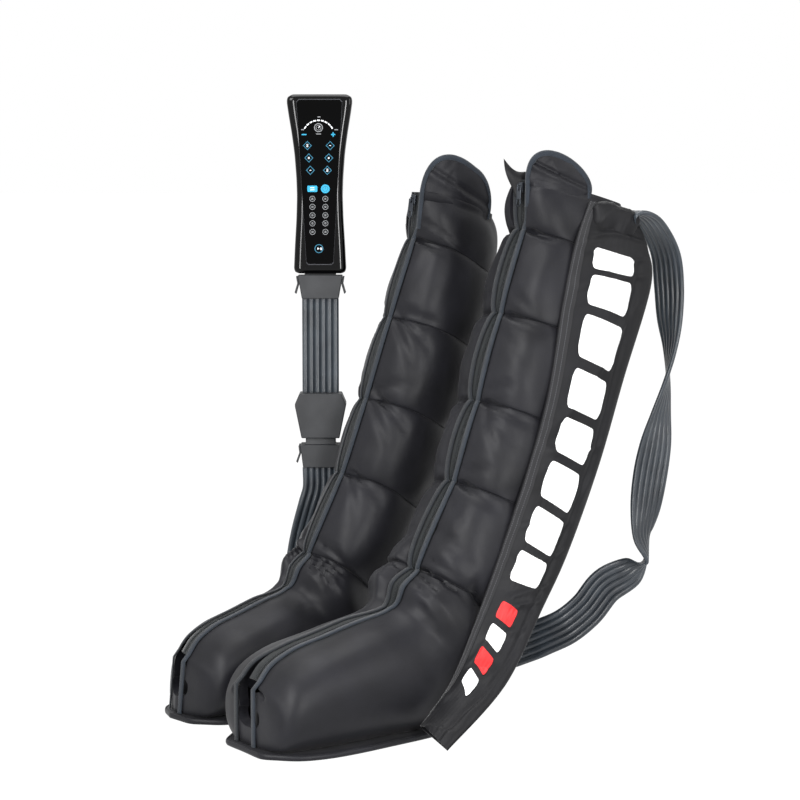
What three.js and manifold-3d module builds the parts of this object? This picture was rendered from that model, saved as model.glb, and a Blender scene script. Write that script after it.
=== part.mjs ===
// A pair of inflatable compression boots with a handheld pump controller.
// Millimetres, +Z up. Toes point to -X. The left boot stands at -Y, the right boot at +Y.
// The origin lies on the floor, under the middle of the set.
import * as THREE from "three";
import { mergeVertices } from "three/addons/utils/BufferGeometryUtils.js";
import Module from "manifold-3d";

const wasm = await Module();
wasm.setup();

// Driving dimensions

const GAP = 0.3; // clearance between pieces that touch
const SET_MIDDLE = { x: 105, y: 151 }; // floor point under the middle of the set, in layout coordinates

const SOLE_THICKNESS = 8;
const CELL_THICKNESS = 30; // inflated air cell, at its fullest
const SEAM_THICKNESS = 7; // air cell at its weld seams
const CELL_ROWS = 4; // steps of an air cell from seam to seam
const CELL_SWELL = 13; // how far a cell swells out past its seams
const TOE_WALL = 14; // thickness of the foot cell across the toe
const SECTION_POWER = 2.5; // 2 gives an ellipse, more gives a squarer leg section
const ZIP_HALF_PINCHED = 7; // half the distance between the two binding strips, at a seam
const ZIP_HALF_OPEN = 14; // the same between two seams
const ZIP_SWELL = 0.7; // share of the swell that the zipper follows
const BINDING = { width: 8, thickness: 3 };
const TAPE = { thickness: 1.6, chain: 2.5, rise: 0.9, edge: 2.5 };
const SLIDER = { length: 14, width: 9, height: 4, top: 4, bail: { length: 8, height: 4.2, thick: 1.4 } };
const PULL = { length: 26, width: 9.5, thickness: 1.6, bar: 1.8, eye: 4, hole: 5 };
// Rounded top of the outer side: lean is how far its tip lies back, bow how far its front edge
// bends round towards the zipper
const TONGUE = {
  width: 82, height: 44, thickness: 15, edge: 5, lean: 4, bow: 20, inset: 2, steps: 6, around: 12,
};
const GUSSET = { halfWidth: 34, low: 24, high: 70, fold: 4, thickness: 2 };
// crown: how far the tubes lift the cloth
const SLEEVE = { cloth: 1.6, crown: 14, backCrown: 1, play: 2, steps: 14, across: 5 };

const TUBES = 6;
const TUBE_PITCH = 9;
const RIBBON = { width: TUBES * TUBE_PITCH, thickness: 6.4, steps: 66 };

// Handset: half outline from the foot to the top, as half width and height above its foot
const HANDSET = { height: 261, depth: 31, wall: 3 };
const HANDSET_SIDE = [
  [35, 0], [38, 2], [38.5, 8], [37, 40], [34.6, 80], [33.6, 114], [34.4, 140],
  [37, 175], [41, 205], [45.5, 232], [48, 250], [47.2, 257], [43, HANDSET.height],
];
const TOUCH_PANEL_SIDE = [[17, 13], [20, 16], [33.5, 250], [30, 254]];
const TOUCH_PANEL = { thickness: 1.6, proud: 0.2 };
const PLUG = { height: 35, top: 33, bottom: 27, depth: 22 }; // top and bottom are half widths
const SPIGOT = { width: 40, depth: 12, length: 14 };
const GASKET = { margin: 3, thickness: 1.7 };
const SPLITTER = { height: 66, depth: 40, gap: 10, core: [44, 24, 40, 12] }; // core: a block of WORKS
const SPLITTER_SIDE = [[28, 0], [37.5, 47], [37.5, 51], [31, SPLITTER.height]];
const LEG_PLUG = { height: 34, top: 30, bottom: 26, depth: 17, out: 10, spigot: [44, 10], reach: 8 };
const LEVER = { depth: 12, thickness: 2.7, flare: 7, pivot: 0.62 };
const MAIN_RIBBON = 139; // length of the ribbon between the controller's plug and the splitter
const TOWER = { x: 112, y: 376, turn: -34, base: 317 }; // layout point of the upright controller
// Works of the handset: width, depth, height and foot height of each block
const WORKS = {
  air_socket: [48, 20, 14, 3.3],
  valve_block: [52, 20, 38, 19],
  air_pump: [44, 21, 36, 58],
  battery_pack: [54, 13, 92, 134],
};
const MOTOR = { radius: 10.5, height: 38, foot: 95 };
const BOARD = { width: 50, thickness: 1.6, height: 200, foot: 30 };
const CHARGE_PORT = { width: 9, depth: 3.2, height: 8, x: -20, y: 6 };

// Seam stations of one boot, from the top rim to the toe, in the boot's own frame:
// toe at x = 0, heel towards +x. f is the zipper point, b the back point, w the half width.
const LEG_SEAMS = [
  { f: [441, 742], b: [606, 700], w: 46 },
  { f: [439, 672], b: [598, 606], w: 60 },
  { f: [401, 558], b: [562, 496], w: 73 },
  { f: [362, 439], b: [518, 374], w: 77 },
  { f: [322, 330], b: [462, 256], w: 76 },
  { f: [261, 215], b: [376, 138], w: 72 },
];
const FOOT_ROWS = 18; // steps of the foot's air cell, two for each of its stations
const TOE_FACE = -2; // how far ahead the flat of the toe lies
const FOOT_STATIONS = [
  { f: [261, 215], b: [376, 138], w: 72, swell: 0 },
  { f: [240, 190], b: [362, 62], w: 76, swell: 13 },
  { f: [216, 166], b: [330, 0], w: 78, swell: 0 },
  { f: [157, 151], b: [240, 0], w: 82, swell: 5 },
  { f: [105, 138], b: [150, 0], w: 86, swell: 5 },
  { f: [60, 127], b: [78, 0], w: 88, swell: 5 },
  { f: [26, 112], b: [30, 0], w: 86, swell: 3 },
  { f: [8, 94], b: [8, 0], w: 78, swell: 0 },
  { f: [0, 84], b: [0, 8.3], w: 56, swell: 0 },
  { f: [TOE_FACE, 62], b: [TOE_FACE, 32], w: 27, swell: 0 },
];
const TOE_STATION = 7; // where the zipper turns down over the toe
const SOLE_ENDS = { toe: -12, heel: 338 };
const SOLE_HALF_WIDTHS = [50, 82, 93, 94.5, 92, 88, 84, 79, 71, 58, 32]; // from toe to heel
const CELL_NAMES = ["upper_thigh_cell", "lower_thigh_cell", "knee_cell", "calf_cell", "ankle_cell"];

// The two long edges of the air tube sleeve, in the boot's own frame, for a sleeve at -y
const SLEEVE_HEM = [
  [505, -60, 703], [476, -71, 655], [448, -80, 575], [415, -90, 450], [378, -91, 345],
  [336, -89, 240], [295, -90, 150], [252, -95, 72], [206, -97, 20],
];
const SLEEVE_EDGE = [
  [582, -80, 678], [592, -87, 645], [592, -94, 593], [540, -100, 468], [494, -105, 353],
  [438, -111, 240], [386, -123, 168], [306, -147, 76], [192, -175, 10],
];

// How each boot stands: place and turn on the floor, sideways lean of the leg, shares of the
// full length and height, fullness of the +y side and how far it lies back, height of the
// tongue and how far ahead of the zipper it starts, and the side and splay of the sleeve
const BOOTS = [
  {
    side: "left", place: [-195, 61, 0], turn: 0,
    lean: 0, long: 1, tall: 1, full: 1, back: 0, crown: 1, lead: 8, sleeve: -1, splay: 1,
  },
  {
    side: "right", place: [-191, 275, 0], turn: 8,
    lean: -0.134, long: 0.82, tall: 0.975, full: 0.7, back: 0.45, crown: 1.4, lead: 18,
    sleeve: 1, splay: 0.15,
  },
];
const SLEEVE_REST = -94; // where a sleeve that lies against its leg keeps its lower end

// Route of each boot's free ribbon, from above its sleeve to its plug, in layout coordinates:
// three numbers for the point, three for the direction of the ribbon's width
const RIBBON_ROUTES = {
  left: [
    [362, -22, 699, 0.3, -0.95, 0], [392, -20, 692, 0.17, -0.98, 0], [424, -12, 670, 0.17, -0.98, 0],
    [449, -6, 636, 0.17, -0.98, 0], [461, 0, 590, 0.17, -0.98, 0], [463, 0, 545, 0.17, -0.98, 0],
    [464, 0, 500, 0.1, -0.99, 0], [463, 0, 450, -0.1, -0.99, 0], [455, 2, 405, -0.28, -0.96, 0],
    [447, 5, 365, -0.7, -0.7, 0], [438, 8, 325, -0.97, -0.25, 0], [430, 10, 280, -1, 0, 0],
    [425, 15, 240, -0.95, -0.3, 0], [428, 25, 208, -0.6, -0.8, 0.1], [415, 36, 186, -0.3, -0.2, 0.93],
    [385, 42, 160, -0.45, 0.3, 0.85], [355, 48, 128, -0.45, 0.3, 0.85], [325, 58, 105, -0.3, 0.2, 0.93],
    [298, 85, 86, 0, 0, 1], [290, 130, 62, 0.3, 0, 0.95], [292, 180, 25, 0.85, 0, 0.5],
    [292, 235, 6.6, 1, 0, 0], [284, 330, 5.5, 0.97, 0.2, 0], [250, 420, 5.5, 0.7, 0.7, 0],
    [190, 470, 6, 0.3, 0.95, 0], [138, 486, 12, 0, 1, 0], [108, 468, 48, -0.1, 0.99, 0],
    [102, 442, 95, -0.35, 0.93, 0], [105, 424, 145, -0.6, 0.8, 0], [108, 413, 190, -0.75, 0.66, 0],
    [109, 403, 220, -0.83, 0.56, 0], [112, 390, 256, -0.83, 0.56, 0],
  ],
  right: [
    [291, 309, 708, 0.7, 0.7, 0], [307, 317, 712, 0.2, 0.98, 0], [324, 330, 697, -0.3, 0.95, 0],
    [334, 338, 670, -0.35, 0.93, 0], [338, 343, 625, -0.35, 0.93, 0], [336, 344, 560, -0.3, 0.95, 0],
    [318, 334, 430, -0.2, 0.98, 0], [292, 318, 300, -0.3, 0.95, 0], [266, 302, 180, -0.6, 0.8, 0],
    [246, 289, 90, -0.9, 0.4, 0], [233, 287, 36, -1, 0.1, 0], [226, 300, 9, -1, 0, 0],
    [221, 330, 5.5, -0.97, -0.2, 0], [192, 385, 5.5, -0.7, -0.7, 0],
    [150, 418, 6, -0.2, -0.98, 0], [112, 427, 16, 0, -1, 0], [88, 422, 50, 0.2, -0.98, 0],
    [89, 413, 100, 0.4, -0.9, 0], [94, 404, 145, 0.6, -0.8, 0], [97, 396, 190, 0.75, -0.66, 0],
    [98, 386, 220, 0.83, -0.56, 0], [101, 373, 256, 0.83, -0.56, 0],
  ],
};
const RIBBON_RISE = 8; // straight stretch out of the sleeve
const RIBBON_DROP = 32; // straight stretch down from the plug

// Colours

const COLOURS = {
  cloth: [0x3a393d, 0.55, 0],
  binding: [0x3c444e, 0.7, 0],
  zipper: [0x262e30, 0.6, 0],
  metal: [0x3a3d40, 0.35, 0.8],
  hose: [0x4a5056, 0.5, 0],
  housing: [0x0b0c0e, 0.15, 0],
  plug: [0x2c2e30, 0.6, 0],
  board: [0x1c4a30, 0.6, 0],
  battery: [0x5b6470, 0.5, 0],
  steel: [0x9a9da0, 0.3, 0.9],
  rubber: [0x18191a, 0.8, 0],
};

// Helpers

const v = (x, y, z) => new THREE.Vector3(x, y, z);
const mix = THREE.MathUtils.lerp;
const rad = THREE.MathUtils.degToRad;

function material(name) {
  const [color, roughness, metalness] = COLOURS[name];
  return new THREE.MeshStandardMaterial({ color, roughness, metalness });
}

// A closed solid through a row of sections that all have the same even number of points,
// where the first and the last half of a section face each other
function loft(sections) {
  const n = sections[0].length;
  const points = [];
  const faces = [];
  for (const section of sections) points.push(...section);
  for (let i = 0; i + 1 < sections.length; i++) {
    for (let j = 0; j < n; j++) {
      const a = i * n + j;
      const b = i * n + ((j + 1) % n);
      faces.push(a, a + n, b, b, a + n, b + n);
    }
  }
  for (const cap of [0, sections.length - 1]) {
    for (let j = 0; j + 1 < n / 2; j++) {
      const quad = [j, j + 1, n - 2 - j, n - 1 - j].map((k) => cap * n + k);
      const [a, b, c, d] = cap === 0 ? quad : quad.reverse();
      faces.push(a, b, c, a, c, d);
    }
  }
  return closedGeometry(points, faces);
}

// A buffer geometry from points and faces, with the faces turned outwards
function closedGeometry(points, faces) {
  let volume = 0;
  for (let i = 0; i < faces.length; i += 3) {
    const [a, b, c] = [points[faces[i]], points[faces[i + 1]], points[faces[i + 2]]];
    volume += a.dot(v(0, 0, 0).crossVectors(b, c)) / 6;
  }
  if (volume < 0) {
    for (let i = 0; i < faces.length; i += 3) [faces[i + 1], faces[i + 2]] = [faces[i + 2], faces[i + 1]];
  }
  const flat = new Float32Array(points.flatMap((p) => [p.x, p.y, p.z]));
  const geometry = new THREE.BufferGeometry();
  geometry.setAttribute("position", new THREE.BufferAttribute(flat, 3));
  geometry.setIndex(faces);
  return geometry;
}

function toSolid(geometry) {
  const plain = geometry.clone();
  plain.deleteAttribute("normal");
  plain.deleteAttribute("uv");
  const merged = mergeVertices(plain, 1e-3);
  return new wasm.Manifold(
    new wasm.Mesh({
      numProp: 3,
      vertProperties: merged.attributes.position.array,
      triVerts: new Uint32Array(merged.index.array),
    }),
  );
}

function fromSolid(solid) {
  const mesh = solid.getMesh();
  const geometry = new THREE.BufferGeometry();
  geometry.setAttribute("position", new THREE.BufferAttribute(new Float32Array(mesh.vertProperties), 3));
  geometry.setIndex(Array.from(mesh.triVerts));
  return geometry;
}

function cut(geometry, ...tools) {
  return fromSolid(tools.reduce((body, tool) => body.subtract(toSolid(tool)), toSolid(geometry)));
}

function join(geometry, ...more) {
  return fromSolid(more.reduce((body, piece) => body.add(toSolid(piece)), toSolid(geometry)));
}

function block(width, depth, height, x, y, z) {
  return new THREE.BoxGeometry(width, depth, height).translate(x, y, z);
}

// A value read from a list of stations at a fractional place, straight between them
function between(list, s, read) {
  const i = Math.min(Math.floor(s), list.length - 2);
  return mix(read(list[i]), read(list[i + 1]), s - i);
}

// A smooth value through a list of stations
function smooth(list, s, read) {
  const last = list.length - 1;
  const i = Math.min(Math.floor(s), last - 1);
  const at = (k) => read(list[THREE.MathUtils.clamp(k, 0, last)]);
  const t = s - i;
  const [p, q, r, w] = [at(i - 1), at(i), at(i + 1), at(i + 2)];
  return q + 0.5 * t * (r - p + t * (2 * p - 5 * q + 4 * r - w + t * (3 * (q - r) + w - p)));
}

// Boot surface
// s runs down the seams, angle runs round the leg from the zipper (0) over the outer side
// (quarter turn, -Y) to the back (half turn) and on over the inner side.

function bootPoint(stations, s, angle, out) {
  const follow = stations === LEG_SEAMS && s < 1 ? between : smooth; // straight for the slider
  const read = (key, i) => follow(stations, s, (station) => station[key][i]);
  const front = v(read("f", 0), 0, read("f", 1));
  const back = v(read("b", 0), 0, read("b", 1));
  const width = smooth(stations, s, (station) => station.w);
  const ahead = front.clone().sub(back).multiplyScalar(0.5);
  const depth = ahead.length();
  const c = signedPower(Math.cos(angle));
  const d = signedPower(Math.sin(angle));
  const point = front.add(back).multiplyScalar(0.5).addScaledVector(ahead, (c * (depth + out)) / depth);
  point.y = -d * (width + out);
  point.z = Math.max(point.z, SOLE_THICKNESS + GAP);
  return point;
}

function signedPower(value) {
  return Math.sign(value) * Math.abs(value) ** (2 / SECTION_POWER);
}

const swell = (t) => Math.sqrt(Math.max(0, Math.sin(Math.PI * t)));

// Where round the leg a surface this far out lies this far from the zipper's middle line
function angleAt(stations, s, half, out) {
  const width = smooth(stations, s, (station) => station.w);
  return Math.asin(Math.min(0.9, half / (width + out)) ** (SECTION_POWER / 2));
}

// One air cell: a padded ring round the leg, open at the zipper
function cell({ stations, from, to, rows, steps, outwards, half, wall }) {
  const sections = [];
  for (let i = 0; i <= steps; i++) {
    const fullness = Math.min(1, ZIP_SWELL + (3 * Math.min(i, steps - i)) / steps);
    const cloth = [];
    const lining = [];
    for (let j = 0; j <= rows; j++) {
      const s = mix(from, to, j / rows);
      const seam = v(0, 0, j === 0 ? -GAP / 2 : j === rows ? GAP / 2 : 0);
      const at = (out) => {
        const start = angleAt(stations, s, half(s) + BINDING.width / 2 + 3 * GAP, out);
        return bootPoint(stations, s, mix(start, 2 * Math.PI - start, i / steps), out).add(seam);
      };
      cloth.push(at(outwards(s) * fullness));
      lining.unshift(at(-wall(s)).add(v(toeWall(stations, s), 0, 0)));
    }
    sections.push([...cloth, ...lining]);
  }
  return loft(sections);
}

// How far the lining stands back from the cloth across the toe
function toeWall(stations, s) {
  if (stations !== FOOT_STATIONS) return 0;
  return TOE_WALL * THREE.MathUtils.smoothstep(s, TOE_STATION - 2, TOE_STATION);
}

function legCell(k) {
  return cell({
    stations: LEG_SEAMS, from: k, to: k + 1, rows: CELL_ROWS, steps: 16,
    outwards: (s) => CELL_SWELL * swell(s - k),
    half: zipHalf,
    wall: (s) => mix(SEAM_THICKNESS, CELL_THICKNESS - CELL_SWELL, swell(s - k)),
  });
}

function footCell() {
  const last = FOOT_STATIONS.length - 1;
  const full = CELL_THICKNESS - CELL_SWELL;
  return cell({
    stations: FOOT_STATIONS, from: 0, to: last, rows: FOOT_ROWS, steps: 16,
    outwards: (s) => Math.max(0, smooth(FOOT_STATIONS, s, (station) => station.swell)),
    half: footZipHalf,
    wall: (s) => {
      if (s > TOE_STATION) return mix(full, 2, Math.min(1, s - TOE_STATION));
      return mix(SEAM_THICKNESS, full, Math.min(1, s));
    },
  });
}

// Half the distance between the binding strips: they pinch together at each seam, and the
// first stretch is straight, for the zipper's slider
function zipHalf(s) {
  if (s < 1) return mix(ZIP_HALF_OPEN, ZIP_HALF_PINCHED, Math.max(0, CELL_ROWS * (s - 1) + 1));
  return mix(ZIP_HALF_PINCHED, ZIP_HALF_OPEN, swell(s % 1));
}

function footZipHalf(s) {
  if (s < 2) return mix(ZIP_HALF_PINCHED, ZIP_HALF_OPEN, swell(s / 2));
  return mix(ZIP_HALF_PINCHED, ZIP_HALF_OPEN, Math.min(1, s - 2));
}

// Points down the zipper with the direction that faces out of the boot
function zipPath() {
  const places = [];
  const leg = LEG_SEAMS.length - 1;
  for (let k = 0; k < leg * CELL_ROWS; k++) {
    const s = k / CELL_ROWS;
    const out = s < 1 ? 0 : ZIP_SWELL * CELL_SWELL * swell(s % 1);
    places.push({ point: bootPoint(LEG_SEAMS, s, 0, out), half: zipHalf(s) });
  }
  for (let s = 0; s <= TOE_STATION; s += 0.5) {
    const out = ZIP_SWELL * Math.max(0, smooth(FOOT_STATIONS, s, (station) => station.swell));
    places.push({ point: bootPoint(FOOT_STATIONS, s, 0, out), half: footZipHalf(s) });
  }
  places.forEach((place, i) => {
    const before = places[Math.max(0, i - 1)].point;
    const after = places[Math.min(places.length - 1, i + 1)].point;
    place.along = after.clone().sub(before).normalize();
    place.out = v(0, 1, 0).cross(place.along).normalize();
  });
  return places;
}

// A strip swept through places, each with a point, a sideways and an outward direction
function strip(places, profileOf) {
  return loft(
    places.map((place, i) =>
      profileOf(place, i).map(([side, out]) =>
        place.point.clone().addScaledVector(place.side, side).addScaledVector(place.out, out),
      ),
    ),
  );
}

// An outline given for y > 0, from toe to heel, raised to a plate
const mirroredY = (side) => [...side.map(([x, y]) => [x, -y]), ...[...side].reverse()];

function prismUp(outline, low, high) {
  const shape = new THREE.Shape(outline.map(([x, y]) => new THREE.Vector2(x, y)));
  return new THREE.ExtrudeGeometry(shape, { depth: high - low, bevelEnabled: false }).translate(0, 0, low);
}

const rectangle = (left, right, low, high) => [[left, low], [right, low], [right, high], [left, high]];

// side is -1 for the outer strip and 1 for the inner one
function bindingStrip(path, side) {
  const down = path.map((place) => ({ ...place, side: v(0, 1, 0) }));
  const toe = down[down.length - 1];
  const drop = [0.5, 1].map((t) => ({
    ...toe,
    point: v(TOE_FACE - GAP, 0, mix(toe.point.z, SOLE_THICKNESS + GAP, t)),
    out: v(-1, 0, 0),
  }));
  toe.out = v(-0.8, 0, 0.6);
  return strip([...down, ...drop], ({ half }) => {
    const middle = side * half;
    return rectangle(middle - BINDING.width / 2, middle + BINDING.width / 2, 0, BINDING.thickness);
  });
}

function zipperTape(path) {
  const { thickness, chain, rise, edge } = TAPE;
  const places = path.map((place) => ({ ...place, side: v(0, 1, 0) }));
  return strip(places, ({ half }) => {
    const wide = half + edge;
    const high = -GAP - rise;
    return [
      [-wide, high - thickness], [wide, high - thickness], [wide, high],
      [chain, -GAP], [-chain, -GAP], [-wide, high],
    ];
  });
}

// The dark folded cloth that closes the toe from inside
function toeGusset() {
  const { halfWidth, low, high, fold, thickness } = GUSSET;
  const x = TOE_WALL + GAP;
  return loft(
    [low, high].map((z) => [
      v(x, -halfWidth, z), v(x + fold, 0, z), v(x, halfWidth, z),
      v(x + thickness, halfWidth, z), v(x + fold + thickness, 0, z), v(x + thickness, -halfWidth, z),
    ]),
  );
}

function soleSheet() {
  const widest = SOLE_HALF_WIDTHS.length - 1;
  const outline = SOLE_HALF_WIDTHS.map((half, i) => [mix(SOLE_ENDS.toe, SOLE_ENDS.heel, i / widest), half]);
  return prismUp(mirroredY(outline), 0, SOLE_THICKNESS);
}

// Rounded top of the outer side: a thin pillow that stands on the top rim
function topTongue(boot) {
  const { thickness, edge, lean, bow, inset, steps, around } = TONGUE;
  const width = TONGUE.width / boot.long;
  const height = TONGUE.height * boot.crown;
  const rim = LEG_SEAMS[0];
  const slope = (rim.b[1] - rim.f[1]) / (rim.b[0] - rim.f[0]);
  const sections = [];
  for (let i = 0; i <= steps; i++) {
    const t = i / steps;
    const reach = Math.sqrt(1 - Math.min(0.985, t) ** 2.4); // rounds the outline
    const thin = mix(thickness, edge, t ** 2);
    const ring = [];
    for (let j = 0; j < around; j++) {
      const a = (2 * Math.PI * j) / around;
      const along = lean * t + (width / 2) * (1 + reach * Math.cos(a));
      const x = rim.f[0] - boot.lead + along;
      const bend = bow * (1 - along / width) ** 2;
      const y = -rim.w - inset + bend + (thin / 2) * Math.sin(a) * reach ** 0.5;
      ring.push(v(x, y, rim.f[1] + slope * (x - rim.f[0]) + GAP + height * t));
    }
    sections.push(ring);
  }
  return loft(sections);
}

// Zipper slider and its pull, lying along the top of the zipper

const PULL_HINGE = GAP + SLIDER.height + SLIDER.bail.height / 2;

// Where the slider sits on a settled boot, with x across the zipper, y out and z down it
function sliderPlace(boot, path) {
  const [top, next] = [path[0].point, path[1].point].map((point) => settlePoint(point.clone(), boot));
  const along = next.sub(top).normalize();
  const out = v(0, 1, 0).cross(along).normalize();
  const across = out.clone().cross(along);
  const place = new THREE.Matrix4().makeBasis(across, out, along);
  return place.setPosition(top.addScaledVector(along, SLIDER.length / 2 + SLIDER.top));
}

function sliderBody() {
  const { length, width, height, bail } = SLIDER;
  const top = GAP + height;
  const body = block(width, height, length, 0, GAP + height / 2, 0);
  const post = (z) => block(bail.thick, bail.height + bail.thick, bail.thick, 0, top + bail.height / 2, z);
  const reach = (bail.length - bail.thick) / 2;
  const bar = block(bail.thick, bail.thick, bail.length, 0, top + bail.height, 0);
  return join(body, post(-reach), post(reach), bar);
}

// Hinges about the bar at its upper end, which lies at the origin
function sliderPull() {
  const { length, width, thickness, bar, eye, hole } = PULL;
  const shape = new THREE.Shape();
  shape.moveTo(-width / 2, -bar / 2);
  shape.lineTo(-width / 2, length - width / 2);
  shape.absarc(0, length - width / 2, width / 2, Math.PI, 0, true);
  shape.lineTo(width / 2, -bar / 2);
  shape.closePath();
  shape.holes.push(rectanglePath(-eye / 2, eye / 2, bar / 2, bar / 2 + eye));
  shape.holes.push(rectanglePath(-hole / 2, hole / 2, length - width, length - bar));
  const plate = new THREE.ExtrudeGeometry(shape, { depth: thickness, bevelEnabled: false, curveSegments: 6 });
  return plate.translate(0, 0, -thickness / 2).rotateX(Math.PI / 2);
}

function rectanglePath(left, right, low, high) {
  return new THREE.Path([
    new THREE.Vector2(left, low), new THREE.Vector2(right, low),
    new THREE.Vector2(right, high), new THREE.Vector2(left, high),
  ]);
}

// Air tube sleeve on the outer side
// share runs from the top of the sleeve (0) to its lower end (1).

function sleevePlace(boot, share) {
  const last = SLEEVE_HEM.length - 1;
  const read = (list, i) => smooth(list, share * last, (p) => p[i]);
  const aside = (y) => -boot.sleeve * (y < SLEEVE_REST ? mix(SLEEVE_REST, y, boot.splay) : y);
  const hem = v(read(SLEEVE_HEM, 0), aside(read(SLEEVE_HEM, 1)), read(SLEEVE_HEM, 2));
  const edge = v(read(SLEEVE_EDGE, 0), aside(read(SLEEVE_EDGE, 1)), read(SLEEVE_EDGE, 2));
  return { hem, edge };
}

function sleeveFrames(boot) {
  const { steps } = SLEEVE;
  const frames = [];
  for (let i = 0; i <= steps; i++) frames.push(sleevePlace(boot, i / steps));
  frames.forEach((frame, i) => {
    const before = frames[Math.max(0, i - 1)];
    const after = frames[Math.min(steps, i + 1)];
    const along = after.hem.clone().add(after.edge).sub(before.hem).sub(before.edge);
    frame.out = along.cross(frame.edge.clone().sub(frame.hem)).normalize();
    if (frame.out.y * boot.sleeve < 0) frame.out.negate();
  });
  return frames;
}

function sleeveSheet(boot, crown, low) {
  const { across } = SLEEVE;
  return loft(
    sleeveFrames(boot).map(({ hem, edge, out }) => {
      const face = [];
      const back = [];
      for (let j = 0; j <= across; j++) {
        const t = j / across;
        const lift = low + crown * Math.sin(Math.PI * t) ** 0.6;
        const point = hem.clone().lerp(edge, t);
        face.push(point.clone().addScaledVector(out, lift + SLEEVE.cloth));
        back.unshift(point.addScaledVector(out, lift));
      }
      return [...face, ...back];
    }),
  );
}

// How far the middle of the tubes lies out from the sleeve's two edges
const TUBES_LIFT = SLEEVE.cloth + SLEEVE.backCrown + SLEEVE.play + RIBBON.thickness / 2;
const TUBES_STOP = 3; // steps of the sleeve below the tubes' lower end

function tubesPlace({ hem, edge, out }) {
  const point = hem.clone().add(edge).multiplyScalar(0.5).addScaledVector(out, TUBES_LIFT);
  return { point, side: edge.clone().sub(hem).normalize(), out };
}

function sleeveTubes(boot) {
  const places = sleeveFrames(boot).map(tubesPlace);
  return strip(places.slice(0, -TUBES_STOP), ribbonProfile);
}

function ribbonProfile() {
  const half = RIBBON.width / 2;
  const thick = RIBBON.thickness / 2;
  const inner = half - thick;
  return [
    [-half, 0], [-inner, -thick], [inner, -thick], [half, 0], [inner, thick], [-inner, thick],
  ];
}

// A free ribbon, from the top of a boot's sleeve to its plug
function freeRibbon(boot, plug) {
  const stops = RIBBON_ROUTES[boot.side].map((n) => ({ point: v(...n.slice(0, 3)), side: v(...n.slice(3)) }));
  const frames = sleeveFrames(boot).map(tubesPlace);
  const stood = ({ point }) => boot.toLayout(settlePoint(point.clone(), boot));
  const [top, below] = frames.slice(0, 2).map(stood);
  const up = top.clone().sub(below).normalize();
  const edge = settlePoint(frames[0].point.clone().addScaledVector(frames[0].side, 10), boot);
  const side = boot.toLayout(edge).sub(top).normalize();
  up.addScaledVector(side, -up.dot(side)).normalize();
  stops.unshift(
    { point: top.clone().addScaledVector(up, 3 * GAP), side },
    { point: top.clone().addScaledVector(up, RIBBON_RISE), side: side.clone() },
  );
  const last = stops[stops.length - 1].side;
  stops.push({ point: plug.clone().add(v(0, 0, -RIBBON_DROP)), side: last }, { point: plug, side: last });
  const curve = new THREE.CatmullRomCurve3(stops.map(({ point }) => point), false, "centripetal");
  const places = [];
  for (let i = 0; i <= RIBBON.steps; i++) {
    const t = i / RIBBON.steps;
    const tangent = i === 0 ? up : i === RIBBON.steps ? v(0, 0, 1) : curve.getTangent(t);
    const read = (k) => smooth(stops, t * (stops.length - 1), (stop) => stop.side[k]);
    const across = v(read("x"), read("y"), read("z"));
    across.addScaledVector(tangent, -across.dot(tangent)).normalize();
    places.push({ point: curve.getPoint(t), side: across, out: tangent.clone().cross(across) });
  }
  return strip(places, ribbonProfile);
}

// Handset, plugs and splitter
// Built with x across, -y to the front and z up.

const mirrored = (side) => [...side, ...side.map(([x, z]) => [-x, z]).reverse()];

// A body with its outline in x and z, from front to back
function prism(outline, front, back) {
  const shape = new THREE.Shape(outline.map(([x, z]) => new THREE.Vector2(x, z)));
  const body = new THREE.ExtrudeGeometry(shape, { depth: back - front, bevelEnabled: false });
  return body.rotateX(Math.PI / 2).translate(0, back, 0);
}

// A block that stands on a height, with its back at a depth
function standing([width, depth, height, foot], back) {
  return block(width, depth, height, 0, back - depth / 2, foot + height / 2);
}

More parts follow.
